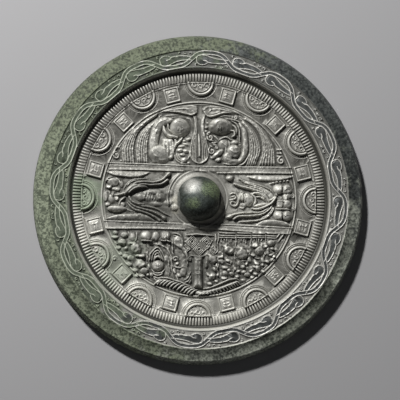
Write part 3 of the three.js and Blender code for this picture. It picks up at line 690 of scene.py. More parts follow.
def pillar_and_ropes(c):
    c.plate([(-3.1, -28.6), (1.7, -28.6), (1.9, -44.6), (-3.3, -44.6)], 1.9, 1.9)
    for x in (-2.1, -1.3, -0.5, 0.3, 1.0):
        c.stroke([(x, -28.6), (x, -44.4)], 0.6, 0.28, taper=(0.8, 0.8), on_top=True)
    for y in (-30.4, -35.6, -36.6, -37.6):
        c.stroke([(-3, y), (1.6, y)], 0.6, 0.25, taper=(0.7, 0.7), on_top=True)
    # Canopy of nested lozenges over the pillar
    for x, y in ((-3.4, -21.4), (3.6, -21.4), (0.1, -25.2), (-6.6, -25), (7, -25.4)):
        for size in (3.1, 2.1, 1.1):
            if abs(x) < 5 or size < 3:
                c.stroke([(x, y + size), (x + size, y), (x, y - size), (x - size, y), (x, y + size)], 0.6,
                         0.9, taper=(1, 1))
    lines(c, [[(-6.6, -18.2), (-2.6, -17.8), (2.4, -17.8), (7.4, -18.4)],
              [(-4.4, -28.2), (-0.7, -28.8), (2.9, -28.3)]], 1.0, 1.3)
    # Hanging ropes to either side of its foot
    left = smooth([(-20.6, -41.2), (-16.4, -41.6), (-11.5, -43), (-6, -45), (-1.6, -46.6)])
    right = smooth([(2.2, -46.8), (7, -45.9), (12, -44.4), (16, -42.7), (19.6, -41.6)])
    for course, count, reach in ((left, 12, 2.4), (right, 12, 3.6)):
        for k in range(count):
            x, y = course[int((len(course) - 1) * (k + 0.5) / count)]
            hook = 0.9 if course is left else -0.9
            c.stroke(smooth([(x - reach, y - 1.5), (x - 0.4, y + 0.4), (x + 1.5, y + hook)]), 1.1, 1.9,
                     taper=(0.5, 0.5))
    lines(c, [[(-21.4, -40.4), (-17.4, -39.4), (-12, -40.6), (-6, -43), (-2, -44.8)],
              [(2.2, -44.8), (6.4, -43.9), (11, -41.9), (15.4, -40.1), (19, -39.9), (20.6, -41.4)]], 0.9, 1.3)
    c.dome(-20.2, -41.4, 1.9, 1.2, 2.0, 20)
    c.dome(0, -46.7, 2.4, 1.0, 1.6)


def shaded(c, rows, **more):
    """Rounded forms that are highest at their upper left, so that the rest of each lies in shade."""
    for x, y, rx, ry, height in rows:
        c.dome(x, y, rx, ry, height, power=0.55, peak=(-0.5, 0.5), **more)


def facing(c, rows, **more):
    """Rounded forms that rise to their lower right edge and face the upper left."""
    for x, y, rx, ry, height in rows:
        c.dome(x, y, rx, ry, height, power=0.45, peak=(0.3, -0.5), **more)


def left_crowd(c):
    # Two worn heads under the bar, each over a ledge and a tapering chin
    for x, y, wide in ((-26.4, -18.6, 3.0), (-16.8, -18.7, 2.6)):
        c.dome(x, y, wide, 2.6, 1.9, peak=(0, -0.3))
        c.stroke([(x - wide * 0.8, y - 2.4), (x + wide * 0.9, y - 2.9)], 1.0, 2.5, taper=(0.7, 0.7))
        c.plate([(x - wide * 0.7, y - 3), (x + wide * 0.8, y - 3.2), (x + 1.2, y - 6.4)], 0.8, 1.4)
    for k in range(3):
        c.stroke([(-18.4 + 1.3 * k, -17.2), (-17.8 + 1.2 * k, -19.8)], 0.6, 0.5, on_top=True)
    shaded(c, [(-21.6, -18.9, 2.0, 2.3, 1.9), (-31.3, -25, 2.7, 2.8, 2.6), (-27.4, -36.2, 2.1, 1.6, 2.2),
               (-38, -21.8, 1.9, 1.8, 2.0), (-37.2, -18.3, 2.1, 1.5, 1.8), (-41.6, -17.2, 1.3, 1.0, 1.3),
               (-36.3, -25.2, 1.3, 1.3, 1.4), (-34, -29.6, 1.6, 1.4, 1.3), (-23.6, -38, 1.0, 1.1, 1.0),
               (-16.2, -30.2, 1.3, 2.0, 1.3), (-25, -33.8, 0.9, 1.2, 1.0)])
    facing(c, [(-32.6, -22.4, 1.9, 1.0, 2.4), (-29.6, -28.6, 2.5, 1.2, 2.4), (-29.4, -32.4, 2.4, 2.1, 2.0),
               (-36.6, -28.6, 1.9, 1.2, 1.3), (-42, -19.2, 1.8, 0.8, 1.3), (-33.4, -19.2, 1.9, 2.0, 0.9),
               (-34.6, -32.6, 1.6, 1.2, 1.0), (-31.8, -35.6, 1.5, 1.0, 1.0), (-34.4, -23, 1.0, 1.3, 1.0),
               (-40.2, -24.6, 1.4, 1.0, 0.9), (-38.8, -27.6, 1.0, 0.9, 1.0), (-25.6, -37.9, 0.8, 0.7, 1.6),
               (-22, -26.4, 0.9, 0.7, 0.8), (-28.2, -38.4, 1.4, 0.8, 1.2), (-31, -38.4, 1.1, 0.8, 0.8)])
    lines(c, [[(-31.2, -16.8), (-31, -19.4), (-32, -21.4)], [(-35.2, -16.6), (-34.4, -18.6)],
              [(-40, -20.4), (-39.4, -23)], [(-31, -30.6), (-28.2, -30.8)], [(-30.8, -34.2), (-28.4, -34.6)],
              [(-41.6, -21.6), (-40.2, -22.6)]], 0.8, 1.1)
    # Mask under a pointed hood of nested lines
    for size in (0, 1.3, 2.5):
        lines(c, [[(-24.9 + size, -30.8), (-24.2 + size * 0.9, -27.4 - size * 0.3),
                   (-20.6, -24.4 - size * 1.1), (-18.4 - size * 0.6, -26.8 - size * 0.6),
                   (-16.6 - size, -30.8)]], 0.85, 1.5, taper=(0.6, 0.6))
    lines(c, [[(-22.6, -30.3), (-20.6, -28.9), (-18.6, -30.3)]], 1.5, 2.2)
    c.dome(-20.6, -33.5, 3.1, 3.0, 2.2)
    face(c, -20.6, -33.2, 2.7)
    lines(c, [[(-23.9, -35.2), (-22, -37), (-19, -37), (-17.2, -35.4)],
              [(-23.4, -37.2), (-20.6, -38.3), (-17.8, -37.2)],
              [(-22.6, -38.8), (-20.4, -39.6), (-18, -38.9)]], 0.85, 1.3)
    # Edges of its robe, the tall plumed body beside it and small scrolls
    lines(c, [[(-24, -22.6), (-21, -22.6), (-17.4, -24), (-15, -26), (-13.8, -29.2), (-13.4, -35.3),
               (-12.6, -39.6)], [(-25.6, -26.6), (-26.2, -31.2)], [(-15.2, -29.6), (-14.8, -38.4)]], 0.75,
          1.0)
    c.plate(np.vstack([smooth([(-12.9, -19.6), (-10.4, -18.4), (-8, -20.4), (-6.9, -24), (-5.4, -29.6),
                               (-5.4, -34.2)]),
                       smooth([(-6.4, -33.8), (-7.2, -29), (-9, -25.6), (-11.8, -24), (-13, -22)])]), 1.4,
            1.0)
    lines(c, [[(-13, -17.2), (-10, -17.9), (-8.2, -20.2)], [(-12.6, -18.6), (-10.8, -19), (-9.4, -20.6)],
              [(-11.9, -21.4), (-10.6, -22.8), (-8.8, -23.4)],
              [(-13.4, -20.6), (-13.6, -24.4), (-12.4, -28.4)]], 0.8, 1.2)
    lines(c, [[(-12, -34), (-10.2, -34.8), (-8.2, -34)], [(-4, -36.4), (-5.4, -38.8), (-7.6, -40.4)],
              [(-4, -38.4), (-5.2, -40.6), (-7, -42)], [(-4, -40.4), (-5, -42.2)],
              [(-11.6, -37.8), (-10.4, -40.8)]], 0.9, 1.2)
    facing(c, [(-11, -32.3, 1.0, 0.9, 1.1), (-9.8, -37.8, 1.4, 1.1, 1.1), (-12, -36.2, 0.9, 1.3, 0.9)])
    shaded(c, [(-7.8, -36.6, 2.0, 1.9, 1.9)])
    curl(c, -12, -30.3, 1.5, 20, 300, 0.9, 1.2)
    curl(c, -4.6, -30.1, 1.1, 100, 360, 0.8, 1.1)
    curl(c, -21.6, -40.2, 0.9, 0, 360, 0.8, 1.2)
    curl(c, -42, -29.9, 1.2, 0)


def right_crowd(c):
    # Hanging cloths under the bar
    for left, right in ((10.3, 18), (19, 25.8), (26.6, 32.8), (34, 38.6)):
        for y in (-16.9, -18.2, -19.2):
            c.stroke([(left, y), (right, y - 0.2)], 0.85, 1.2, taper=(0.8, 0.8))
        for x in np.arange(left + 0.9, right - 1.6, 1.2):
            c.stroke([(x, -19.6), (x + 0.1, -21.4 - 0.35 * (x % 3))], 0.65, 0.9)
        c.stroke([(left - 0.6, -16.8), (left - 0.8, -25.6)], 0.6, 1.0)
    lines(c, [[(8.3, -17.6), (8.2, -26)], [(40.4, -17), (38.4, -19.6)], [(42.4, -17.2), (39.4, -21.4)]], 0.8,
          1.0)
    # Figures in rows, each a shaded head over small folds
    shaded(c, [(14.7, -25.7, 2.5, 2.2, 2.5), (21.6, -27.5, 3.0, 2.9, 2.9), (30.2, -25.8, 2.2, 2.6, 2.4),
               (36, -21.9, 2.3, 1.9, 2.3), (6.7, -30.4, 2.6, 2.4, 2.5), (11.1, -31.3, 1.4, 1.3, 1.8),
               (19.9, -32.1, 1.5, 1.4, 1.9), (16, -37.4, 1.5, 1.0, 1.5), (24, -37.7, 1.7, 1.0, 1.6),
               (22.1, -40.4, 1.3, 0.9, 1.2), (29.3, -34.3, 1.5, 2.0, 1.9), (34.6, -26, 1.2, 1.7, 1.6),
               (36.4, -30.2, 1.4, 1.0, 1.4), (6.4, -38.8, 1.7, 2.1, 1.9), (3.4, -33, 0.9, 1.8, 1.2),
               (12.6, -37.2, 1.3, 1.6, 1.5), (16, -31.8, 1.0, 1.2, 1.2), (25.4, -30.4, 1.0, 1.6, 1.3),
               (31.8, -30.4, 1.0, 1.4, 1.3), (38.6, -25.6, 0.9, 1.4, 1.2)])
    facing(c, [(13.1, -23.7, 1.5, 1.0, 2.0), (21.4, -24.3, 1.5, 0.8, 1.7), (27.9, -22.9, 1.7, 1.3, 2.2),
               (33.2, -23.2, 1.1, 1.3, 1.8), (5.1, -28, 1.6, 0.9, 2.1), (14.3, -30.4, 1.5, 1.2, 1.7),
               (12.8, -34, 1.7, 1.0, 1.7), (14.6, -35.6, 1.2, 0.9, 1.6), (21.4, -33.6, 1.5, 1.0, 1.7),
               (23.7, -32.4, 0.9, 0.8, 1.5), (19.5, -35.8, 1.2, 0.9, 1.6), (22.4, -36, 1.2, 1.0, 1.6),
               (25.6, -35.8, 0.9, 0.9, 1.4), (28.5, -31.6, 1.5, 1.0, 2.0), (27.2, -28, 1.2, 1.2, 1.6),
               (27.4, -33.6, 1.0, 0.9, 1.5), (28, -37.2, 1.2, 0.8, 1.7), (36.8, -24.6, 1.2, 0.8, 1.8),
               (35.9, -27.5, 1.1, 0.7, 1.6), (33.9, -30.8, 1.3, 0.9, 1.9), (37.2, -28.6, 1.0, 0.8, 1.7),
               (7.5, -35.2, 1.4, 0.9, 1.7), (4.5, -37.8, 1.2, 1.0, 1.7), (5.2, -42.3, 1.3, 0.8, 1.8),
               (8.6, -33.2, 0.8, 0.9, 1.3), (31.6, -32.6, 0.8, 0.8, 1.5), (33, -26.9, 0.8, 1.0, 1.3),
               (10.8, -28.6, 1.2, 0.9, 1.5), (12.6, -39.4, 1.5, 0.8, 1.3), (17.8, -34.6, 0.8, 0.9, 1.2),
               (9, -37.4, 0.7, 1.0, 1.2), (8.6, -41, 1.0, 0.7, 1.2), (19, -38.6, 1.0, 0.8, 1.2),
               (31.8, -36, 1.0, 0.8, 1.3), (26.4, -39, 1.1, 0.7, 1.0), (24.6, -26, 0.7, 1.0, 1.1)])
    lines(c, [[(9.6, -27.6), (9.7, -33), (9.4, -36.6)], [(17.9, -26.4), (17.8, -30.6)],
              [(17.2, -33), (17.2, -36.6)], [(25.8, -25), (25.4, -28.4)], [(32.4, -27.6), (32.4, -29.4)],
              [(11.4, -26.6), (11.6, -28)], [(5.4, -33), (8, -33.6)], [(13.6, -32.2), (16.2, -33.4)],
              [(20.4, -30.6), (24.2, -30.8)], [(27.4, -30), (30.4, -29.4)], [(34.6, -24.4), (35.6, -25.6)]],
          0.7, 1.1)


def all_relief(chance):
    """Every raised form; those of the figures' scenes are drawn apart, so that they can grow together."""
    dice = np.random.default_rng(chance.randrange(1000))
    c = Carving()
    left_creature(c)
    right_creature(c)
    pillar_and_ropes(c)
    left_crowd(c)
    right_crowd(c)
    left_seated(c)
    right_seated(c)
    melted(c, dice)
    scroll_band(c, chance)
    ring_of_units(c, chance)
    bars(c)
    tall_loop(c)
    weathered(c, dice)
    return c


def scene_mask(c, x, y):
    """How strongly the casting has run the forms together: most among the small figures."""
    inside = np.clip((FIELD_RADIUS - np.hypot(x, y)) / 0.8, 0, 1)
    crowd = np.clip((-18 - y) / 3, 0, 1) * (0.35 + 0.65 * np.clip((np.abs(x + 0.6) - 3.2) / 1.5, 0, 1))
    crowd *= np.clip((y + 44.5 - np.abs(x) * 0.28) / 2, 0.25, 1)

    def spot(x0, y0, rx, ry, power=2):
        return np.exp(-((x - x0) / rx) ** power - ((y - y0) / ry) ** power)

    bodies = 0.8 * spot(-22, 0.2, 9, 3.6) + 0.8 * spot(-43, 2, 4.5, 8) + 0.7 * spot(43.5, -1, 4, 8)
    crowd *= 1 - 0.75 * spot(-20.6, -31.5, 4.6, 8, 4)
    return inside * np.clip(crowd + bodies, 0.22, 1)


def melted(c, dice):
    """Run neighbouring forms together and bend their outlines, as in a soft old casting."""
    x, y = np.meshgrid(c.axis, c.axis)
    share = scene_mask(c, x, y)
    shape = c.height.shape

    def wander():
        return 0.26 * noise(shape, 2.6 / GRID_STEP, dice) + 0.13 * noise(shape, 1.2 / GRID_STEP, dice)

    gx = np.clip((x + share * wander() + GRID_HALF) / GRID_STEP, 0, c.count - 2)
    gy = np.clip((y + share * wander() + GRID_HALF) / GRID_STEP, 0, c.count - 2)
    i, j = gx.astype(int), gy.astype(int)
    fx, fy = gx - i, gy - j
    h = c.height
    lower = h[j, i] * (1 - fx) + h[j, i + 1] * fx
    upper = h[j + 1, i] * (1 - fx) + h[j + 1, i + 1] * fx
    bent = lower * (1 - fy) + upper * fy
    strong = np.clip((share - 0.3) / 0.5, 0, 1)
    mottle = 0.17 * noise(shape, 1.5 / GRID_STEP, dice) + 0.12 * noise(shape, 0.9 / GRID_STEP, dice)
    ground = np.clip(0.7 * blurred(bent, 2.4) + mottle - 0.1, 0, 3)
    bent = bent + strong * mottle * np.clip(bent, 0, 1)
    c.height = np.maximum(bent, strong * ground).astype(np.float32)


def weathered(c, dice):
    """Wear and cast grain over the raised forms of the scenes."""
    x, y = np.meshgrid(c.axis, c.axis)
    inside = np.clip((47.5 - np.hypot(x, y)) / 1.5, 0, 1)
    raised = np.clip(c.height / 0.8, 0.12, 1) * inside
    shape = c.height.shape
    rough = 0.10 * noise(shape, 1.3 / GRID_STEP, dice) + 0.055 * noise(shape, 0.6 / GRID_STEP, dice)
    c.height += (raised * rough).astype(np.float32)


# Whole surface of the decorated side

class Surface:
    """Height of the decorated side anywhere on the disc, from its profile, its teeth and its carving."""

    def __init__(self, carving):
        self.carving = carving
        x, y = np.meshgrid(carving.axis, carving.axis)
        whole = self.height(x, y)
        # High on crests for wear, low in hollows, where the material paints dirt and shade
        near = whole - blurred(whole, 0.9)
        far = whole - blurred(whole, 2.4)
        self.wear_and_hollow_shade_grid = np.clip(0.5 + 1.3 * near + 0.3 * far, 0, 1).astype(np.float32)

    def sample(self, grid, x, y):
        """Values of a grid between its points."""
        last = self.carving.count - 1.001
        gx = np.clip((x + GRID_HALF) / GRID_STEP, 0, last)
        gy = np.clip((y + GRID_HALF) / GRID_STEP, 0, last)
        i, j = gx.astype(int), gy.astype(int)
        fx, fy = gx - i, gy - j
        return (grid[j, i] * (1 - fx) * (1 - fy) + grid[j, i + 1] * fx * (1 - fy)
                + grid[j + 1, i] * (1 - fx) * fy + grid[j + 1, i + 1] * fx * fy)

    def wear_and_hollow_shade(self, x, y):
        """About 1 on crests, bright from use; 0.5 on level ground; 0 in the hollows, which the material
        darkens with grime and painted shade.
        """
        return self.sample(self.wear_and_hollow_shade_grid, x, y)

    def height(self, x, y):
        r = np.hypot(x, y)
        angle = np.arctan2(x, y)
        radii, levels = zip(*PROFILE)
        h = np.interp(r, radii, levels)
        band = np.clip(np.minimum(r - COMB_INNER_RADIUS, COMB_OUTER_RADIUS - r) / 0.4, 0, 1)
        h = h + TOOTH_HEIGHT * band * (0.5 + 0.5 * np.cos(angle * COMB_TEETH)) ** 1.5
        for radius, width, rise in RIDGES:
            h = h + rise * np.clip(1 - ((r - radius) * 2 / width) ** 2, 0, 1) ** 0.6
        # Hollow foot that leads up to the knob
        h = h + 2.0 * np.clip((14.3 - r) / 3.6, 0, 1) ** 2
        h = h + 0.3 * np.clip(1 - ((r - 14.2) / 0.5) ** 2, 0, 1) ** 0.6
        left = np.clip(-(x + 0.6 * y) / 6, 0, 1) * (y > -4)
        h = h + 0.45 * left * np.clip(1 - ((r - 15.7) / 0.5) ** 2, 0, 1) ** 0.6
        return h + self.sample(self.carving.height, x, y)

    def normal(self, x, y):
        d = 0.12
        gx = (self.height(x + d, y) - self.height(x - d, y)) / (2 * d)
        gy = (self.height(x, y + d) - self.height(x, y - d)) / (2 * d)
        n = np.stack([-gx, -gy, np.ones_like(gx)], axis=-1)
        return n / np.linalg.norm(n, axis=-1, keepdims=True)


def disc_mesh(surface, fine):
    """A closed disc of rings; where the number of points changes, it halves or doubles."""
    full = COMB_TEETH * (8 if fine else 4)
    step = 0.22 if fine else 0.44
    rings = []

    def top(start, end, spacing, count):
        for r in np.linspace(start, end, max(2, int(abs(end - start) / spacing)), endpoint=False):
            rings.append((r, None, count))

    top(1.5, 4.5, 0.6, full // 16)
    top(4.5, 10, 0.5, full // 8)
    top(10, 20, step, full // 4)
    top(20, 38, step, full // 2)
    top(38, 66.2, step, full)
    top(66.2, 74.2, step * 1.1, full)
    top(74.2, 75.2, step, full)
    top(75.2, RIM_TOP_RADIUS - 0.35, 0.7, full // 2)
    # Outer edge: a small rounding, then the slope down to the widest line
    for r, level in ((RIM_TOP_RADIUS - 0.35, RIM_LEVEL), (RIM_TOP_RADIUS - 0.1, RIM_LEVEL - 0.03),
                     (RIM_TOP_RADIUS + 0.1, RIM_LEVEL - 0.2), (RIM_TOP_RADIUS + 0.22, RIM_LEVEL - 0.5),
                     (81.5, 4.0), (82.1, 2.4), (82.4, 1.5), (EDGE_RADIUS, EDGE_LEVEL)):
        rings.append((r, level, full // 4))
    for r in (74, 60, 46, REST_RADIUS):
        level = EDGE_LEVEL * (r - REST_RADIUS) / (EDGE_RADIUS - REST_RADIUS)
        rings.append((r, level, full // 8))
    rings.append((10, 0.0, full // 16))

    points, faces, starts = [], [], []
    total = 0
    for r, level, count in rings:
        angle = np.arange(count) * 2 * math.pi / count
        x, y = r * np.cos(angle), r * np.sin(angle)
        z = surface.height(x, y) if level is None else np.full(count, level)
        points.append(np.stack([x, y, z], axis=1))
        starts.append(total)
        total += count
    for (_, _, n), (_, _, m), a, b in zip(rings[:-1], rings[1:], starts[:-1], starts[1:]):
        if n == m:
            k = np.arange(n)
            k2 = (k + 1) % n
            faces += [np.stack([a + k, b + k, b + k2], 1), np.stack([a + k, b + k2, a + k2], 1)]
        elif m == 2 * n:
            k = np.arange(n)
            k2, f, g, h = (k + 1) % n, 2 * k, 2 * k + 1, (2 * k + 2) % m
            faces += [np.stack([a + k, b + f, b + g], 1), np.stack([a + k, b + g, a + k2], 1),
                      np.stack([a + k2, b + g, b + h], 1)]
        else:
            k = np.arange(m)
            k2, f, g, h = (k + 1) % m, 2 * k, 2 * k + 1, (2 * k + 2) % n
            faces += [np.stack([b + k, a + g, a + f], 1), np.stack([b + k, b + k2, a + g], 1),
                      np.stack([b + k2, a + h, a + g], 1)]
    first, last = rings[0][2], rings[-1][2]
    points.append(np.array([[0, 0, surface.height(np.zeros(1), np.zeros(1))[0]], [0, 0, 0]]))
    k = np.arange(first)
    faces.append(np.stack([np.full(first, total), k, (k + 1) % first], 1))
    k = np.arange(last)
    faces.append(np.stack([np.full(last, total + 1), starts[-1] + (k + 1) % last, starts[-1] + k], 1))
    return np.vstack(points), np.vstack(faces)


def make_mesh(name, points, faces):
    mesh = bpy.data.meshes.new(name)
    mesh.vertices.add(len(points))
    mesh.vertices.foreach_set("co", (points * MM).astype(np.float32).ravel())
    mesh.loops.add(faces.size)
    mesh.loops.foreach_set("vertex_index", faces.astype(np.int32).ravel())
    mesh.polygons.add(len(faces))
    mesh.polygons.foreach_set("loop_start", np.arange(0, faces.size, 3, dtype=np.int32))
    mesh.polygons.foreach_set("use_smooth", np.ones(len(faces), dtype=bool))
    mesh.update(calc_edges=True)
    return mesh


def add_object(name, mesh):
    obj = bpy.data.objects.new(name, mesh)
    bpy.context.scene.collection.objects.link(obj)
    return obj


def applied(obj):
    """Put the object's modifiers into its mesh."""
    graph = bpy.context.evaluated_depsgraph_get()
    mesh = bpy.data.meshes.new_from_object(obj.evaluated_get(graph))
    obj.modifiers.clear()
    obj.data = mesh


# The knob, with the cord's channel through it

def knob_mesh():
    count, rows = 144, 40
    angle = np.arange(count) * 2 * math.pi / count
    points, faces = [], []
    for k in range(rows):
        t = k / rows
        # From the foot up over the crown
        lift = math.radians(90 * t)
        radius = KNOB_RADIUS * math.cos(lift) ** 0.9
        level = FIELD_LEVEL + (KNOB_TOP - FIELD_LEVEL) * math.sin(lift)
        points.append(np.stack([radius * np.cos(angle), radius * np.sin(angle), np.full(count, level)], 1))
    foot = [KNOB_RADIUS * np.cos(angle), KNOB_RADIUS * np.sin(angle), np.full(count, KNOB_FOOT)]
    points.insert(0, np.stack(foot, 1))
    total = count * (rows + 1)
    points.append(np.array([[0, 0, KNOB_TOP], [0, 0, KNOB_FOOT]]))
    k = np.arange(count)
    k2 = (k + 1) % count
    for row in range(rows):
        a, b = row * count, (row + 1) * count
        faces += [np.stack([a + k, a + k2, b + k2], 1), np.stack([a + k, b + k2, b + k], 1)]
    a = rows * count
    faces += [np.stack([a + k, a + k2, np.full(count, total)], 1),
              np.stack([k2, k, np.full(count, total + 1)], 1)]
    return make_mesh("knob", np.vstack(points), np.vstack(faces))


def channel_mesh():
    """An arch-shaped bar along X, a little longer than the knob is wide."""
    half, rise, floor = CHANNEL_WIDTH / 2, CHANNEL_HEIGHT, FIELD_LEVEL - 2
    section = [(-half, floor), (half, floor)]
    for k in range(25):
        angle = math.pi * k / 24
        section.append((half * math.cos(angle), FIELD_LEVEL + rise * math.sin(angle) ** 0.8))
    section = np.array(section)
    n = len(section)
    points = np.vstack([np.column_stack([np.full(n, x), section + (CHANNEL_Y, 0)]) for x in (-20.0, 20.0)])
    faces = []
    for k in range(n):
        k2 = (k + 1) % n
        faces += [(k, k2, n + k2), (k, n + k2, n + k)]
    for k in range(1, n - 1):
        faces += [(0, k + 1, k), (n, n + k, n + k + 1)]
    return make_mesh("channel", points, np.array(faces))


# Camera, light and floor

def place_camera():
    back = Vector((-math.sin(math.radians(TILT_X)), -math.sin(math.radians(TILT_Y)), 0))
    back.z = math.sqrt(1 - back.x ** 2 - back.y ** 2)
    side = Vector((0, 1, 0)).cross(back).normalized()
    up = back.cross(side)
    data = bpy.data.cameras.new("camera")
    data.sensor_width = SENSOR_WIDTH
    data.lens = SENSOR_WIDTH * CAMERA_DISTANCE / FRAME_WIDTH
    data.clip_end = 20
    camera = add_object("camera", data)
    place = Vector(CAMERA_TARGET) + back * CAMERA_DISTANCE
    camera.matrix_world = Matrix([(*row,) for row in zip(side, up, back, place)] + [(0, 0, 0, 1)])
    bpy.context.scene.camera = camera


def area_light(name, clockwise, elevation, distance, size, energy):
    data = bpy.data.lights.new(name, "AREA")
    data.shape = "DISK"
    data.size = size
    data.energy = energy
    light = add_object(name, data)
    a, e = math.radians(clockwise), math.radians(elevation)
    direction = Vector((math.sin(a) * math.cos(e), math.cos(a) * math.cos(e), math.sin(e)))
    light.location = direction * distance
    light.rotation_euler = direction.to_track_quat("Z", "Y").to_euler()


# Materials

class Value:
    """A value in a material, for plain arithmetic between values."""

    def __init__(self, nodes, socket):
        self.nodes = nodes
        self.socket = socket

    def __add__(self, other):
        return self.nodes.math("ADD", self, other)

    def __sub__(self, other):
        return self.nodes.math("SUBTRACT", self, other)

    def __rsub__(self, other):
        return self.nodes.math("SUBTRACT", other, self)

    def __mul__(self, other):
        return self.nodes.math("MULTIPLY", self, other)


class Nodes:
    """Short ways to make and join shader nodes."""

    def __init__(self, name):
        self.material = bpy.data.materials.new(name)
        self.material.use_nodes = True
        self.tree = self.material.node_tree
        self.shader = self.tree.nodes["Principled BSDF"]

    def node(self, kind, **settings):
        made = self.tree.nodes.new("ShaderNode" + kind)
        for name, setting in settings.items():
            setattr(made, name, setting)
        return made

    def plug(self, socket, value):
        """Join a value to a socket, or set the socket to a number or to a color of three parts."""
        if isinstance(value, Value):
            self.tree.links.new(value.socket, socket)
        elif isinstance(value, tuple):
            socket.default_value = (*value, 1)
        else:
            socket.default_value = value

    def result(self, node, inputs, output=0):
        """What a node gives for its inputs."""
        for key, value in inputs.items():
            self.plug(node.inputs[key], value)
        return Value(self, node.outputs[output])

    def math(self, kind, a, b=0.0):
        return self.result(self.node("Math", operation=kind), {0: a, 1: b})

    def largest(self, a, b):
        return self.math("MAXIMUM", a, b)

    def distance(self, a, b):
        return self.math("SQRT", a * a + b * b)

    def ramp(self, value, low, high, to_low=0.0, to_high=1.0):
        """A smooth step of a value from low to high."""
        node = self.node("MapRange", interpolation_type="SMOOTHSTEP")
        return self.result(node, dict(enumerate((value, low, high, to_low, to_high))))

    def noise(self, place, scale, detail, roughness):
        inputs = {"Vector": place, "Scale": scale, "Detail": detail, "Roughness": roughness}
        return self.result(self.node("TexNoise"), inputs, "Fac")

    def mix(self, share, a, b, kind="MIX"):
        """Color a, going over to color b by a share."""
        return self.result(self.node("Mix", data_type="RGBA", blend_type=kind), {0: share, 6: a, 7: b}, 2)

    def blend(self, share, a, b):
        """Number a, going over to number b by a share."""
        return self.result(self.node("Mix"), {0: share, 2: a, 3: b})


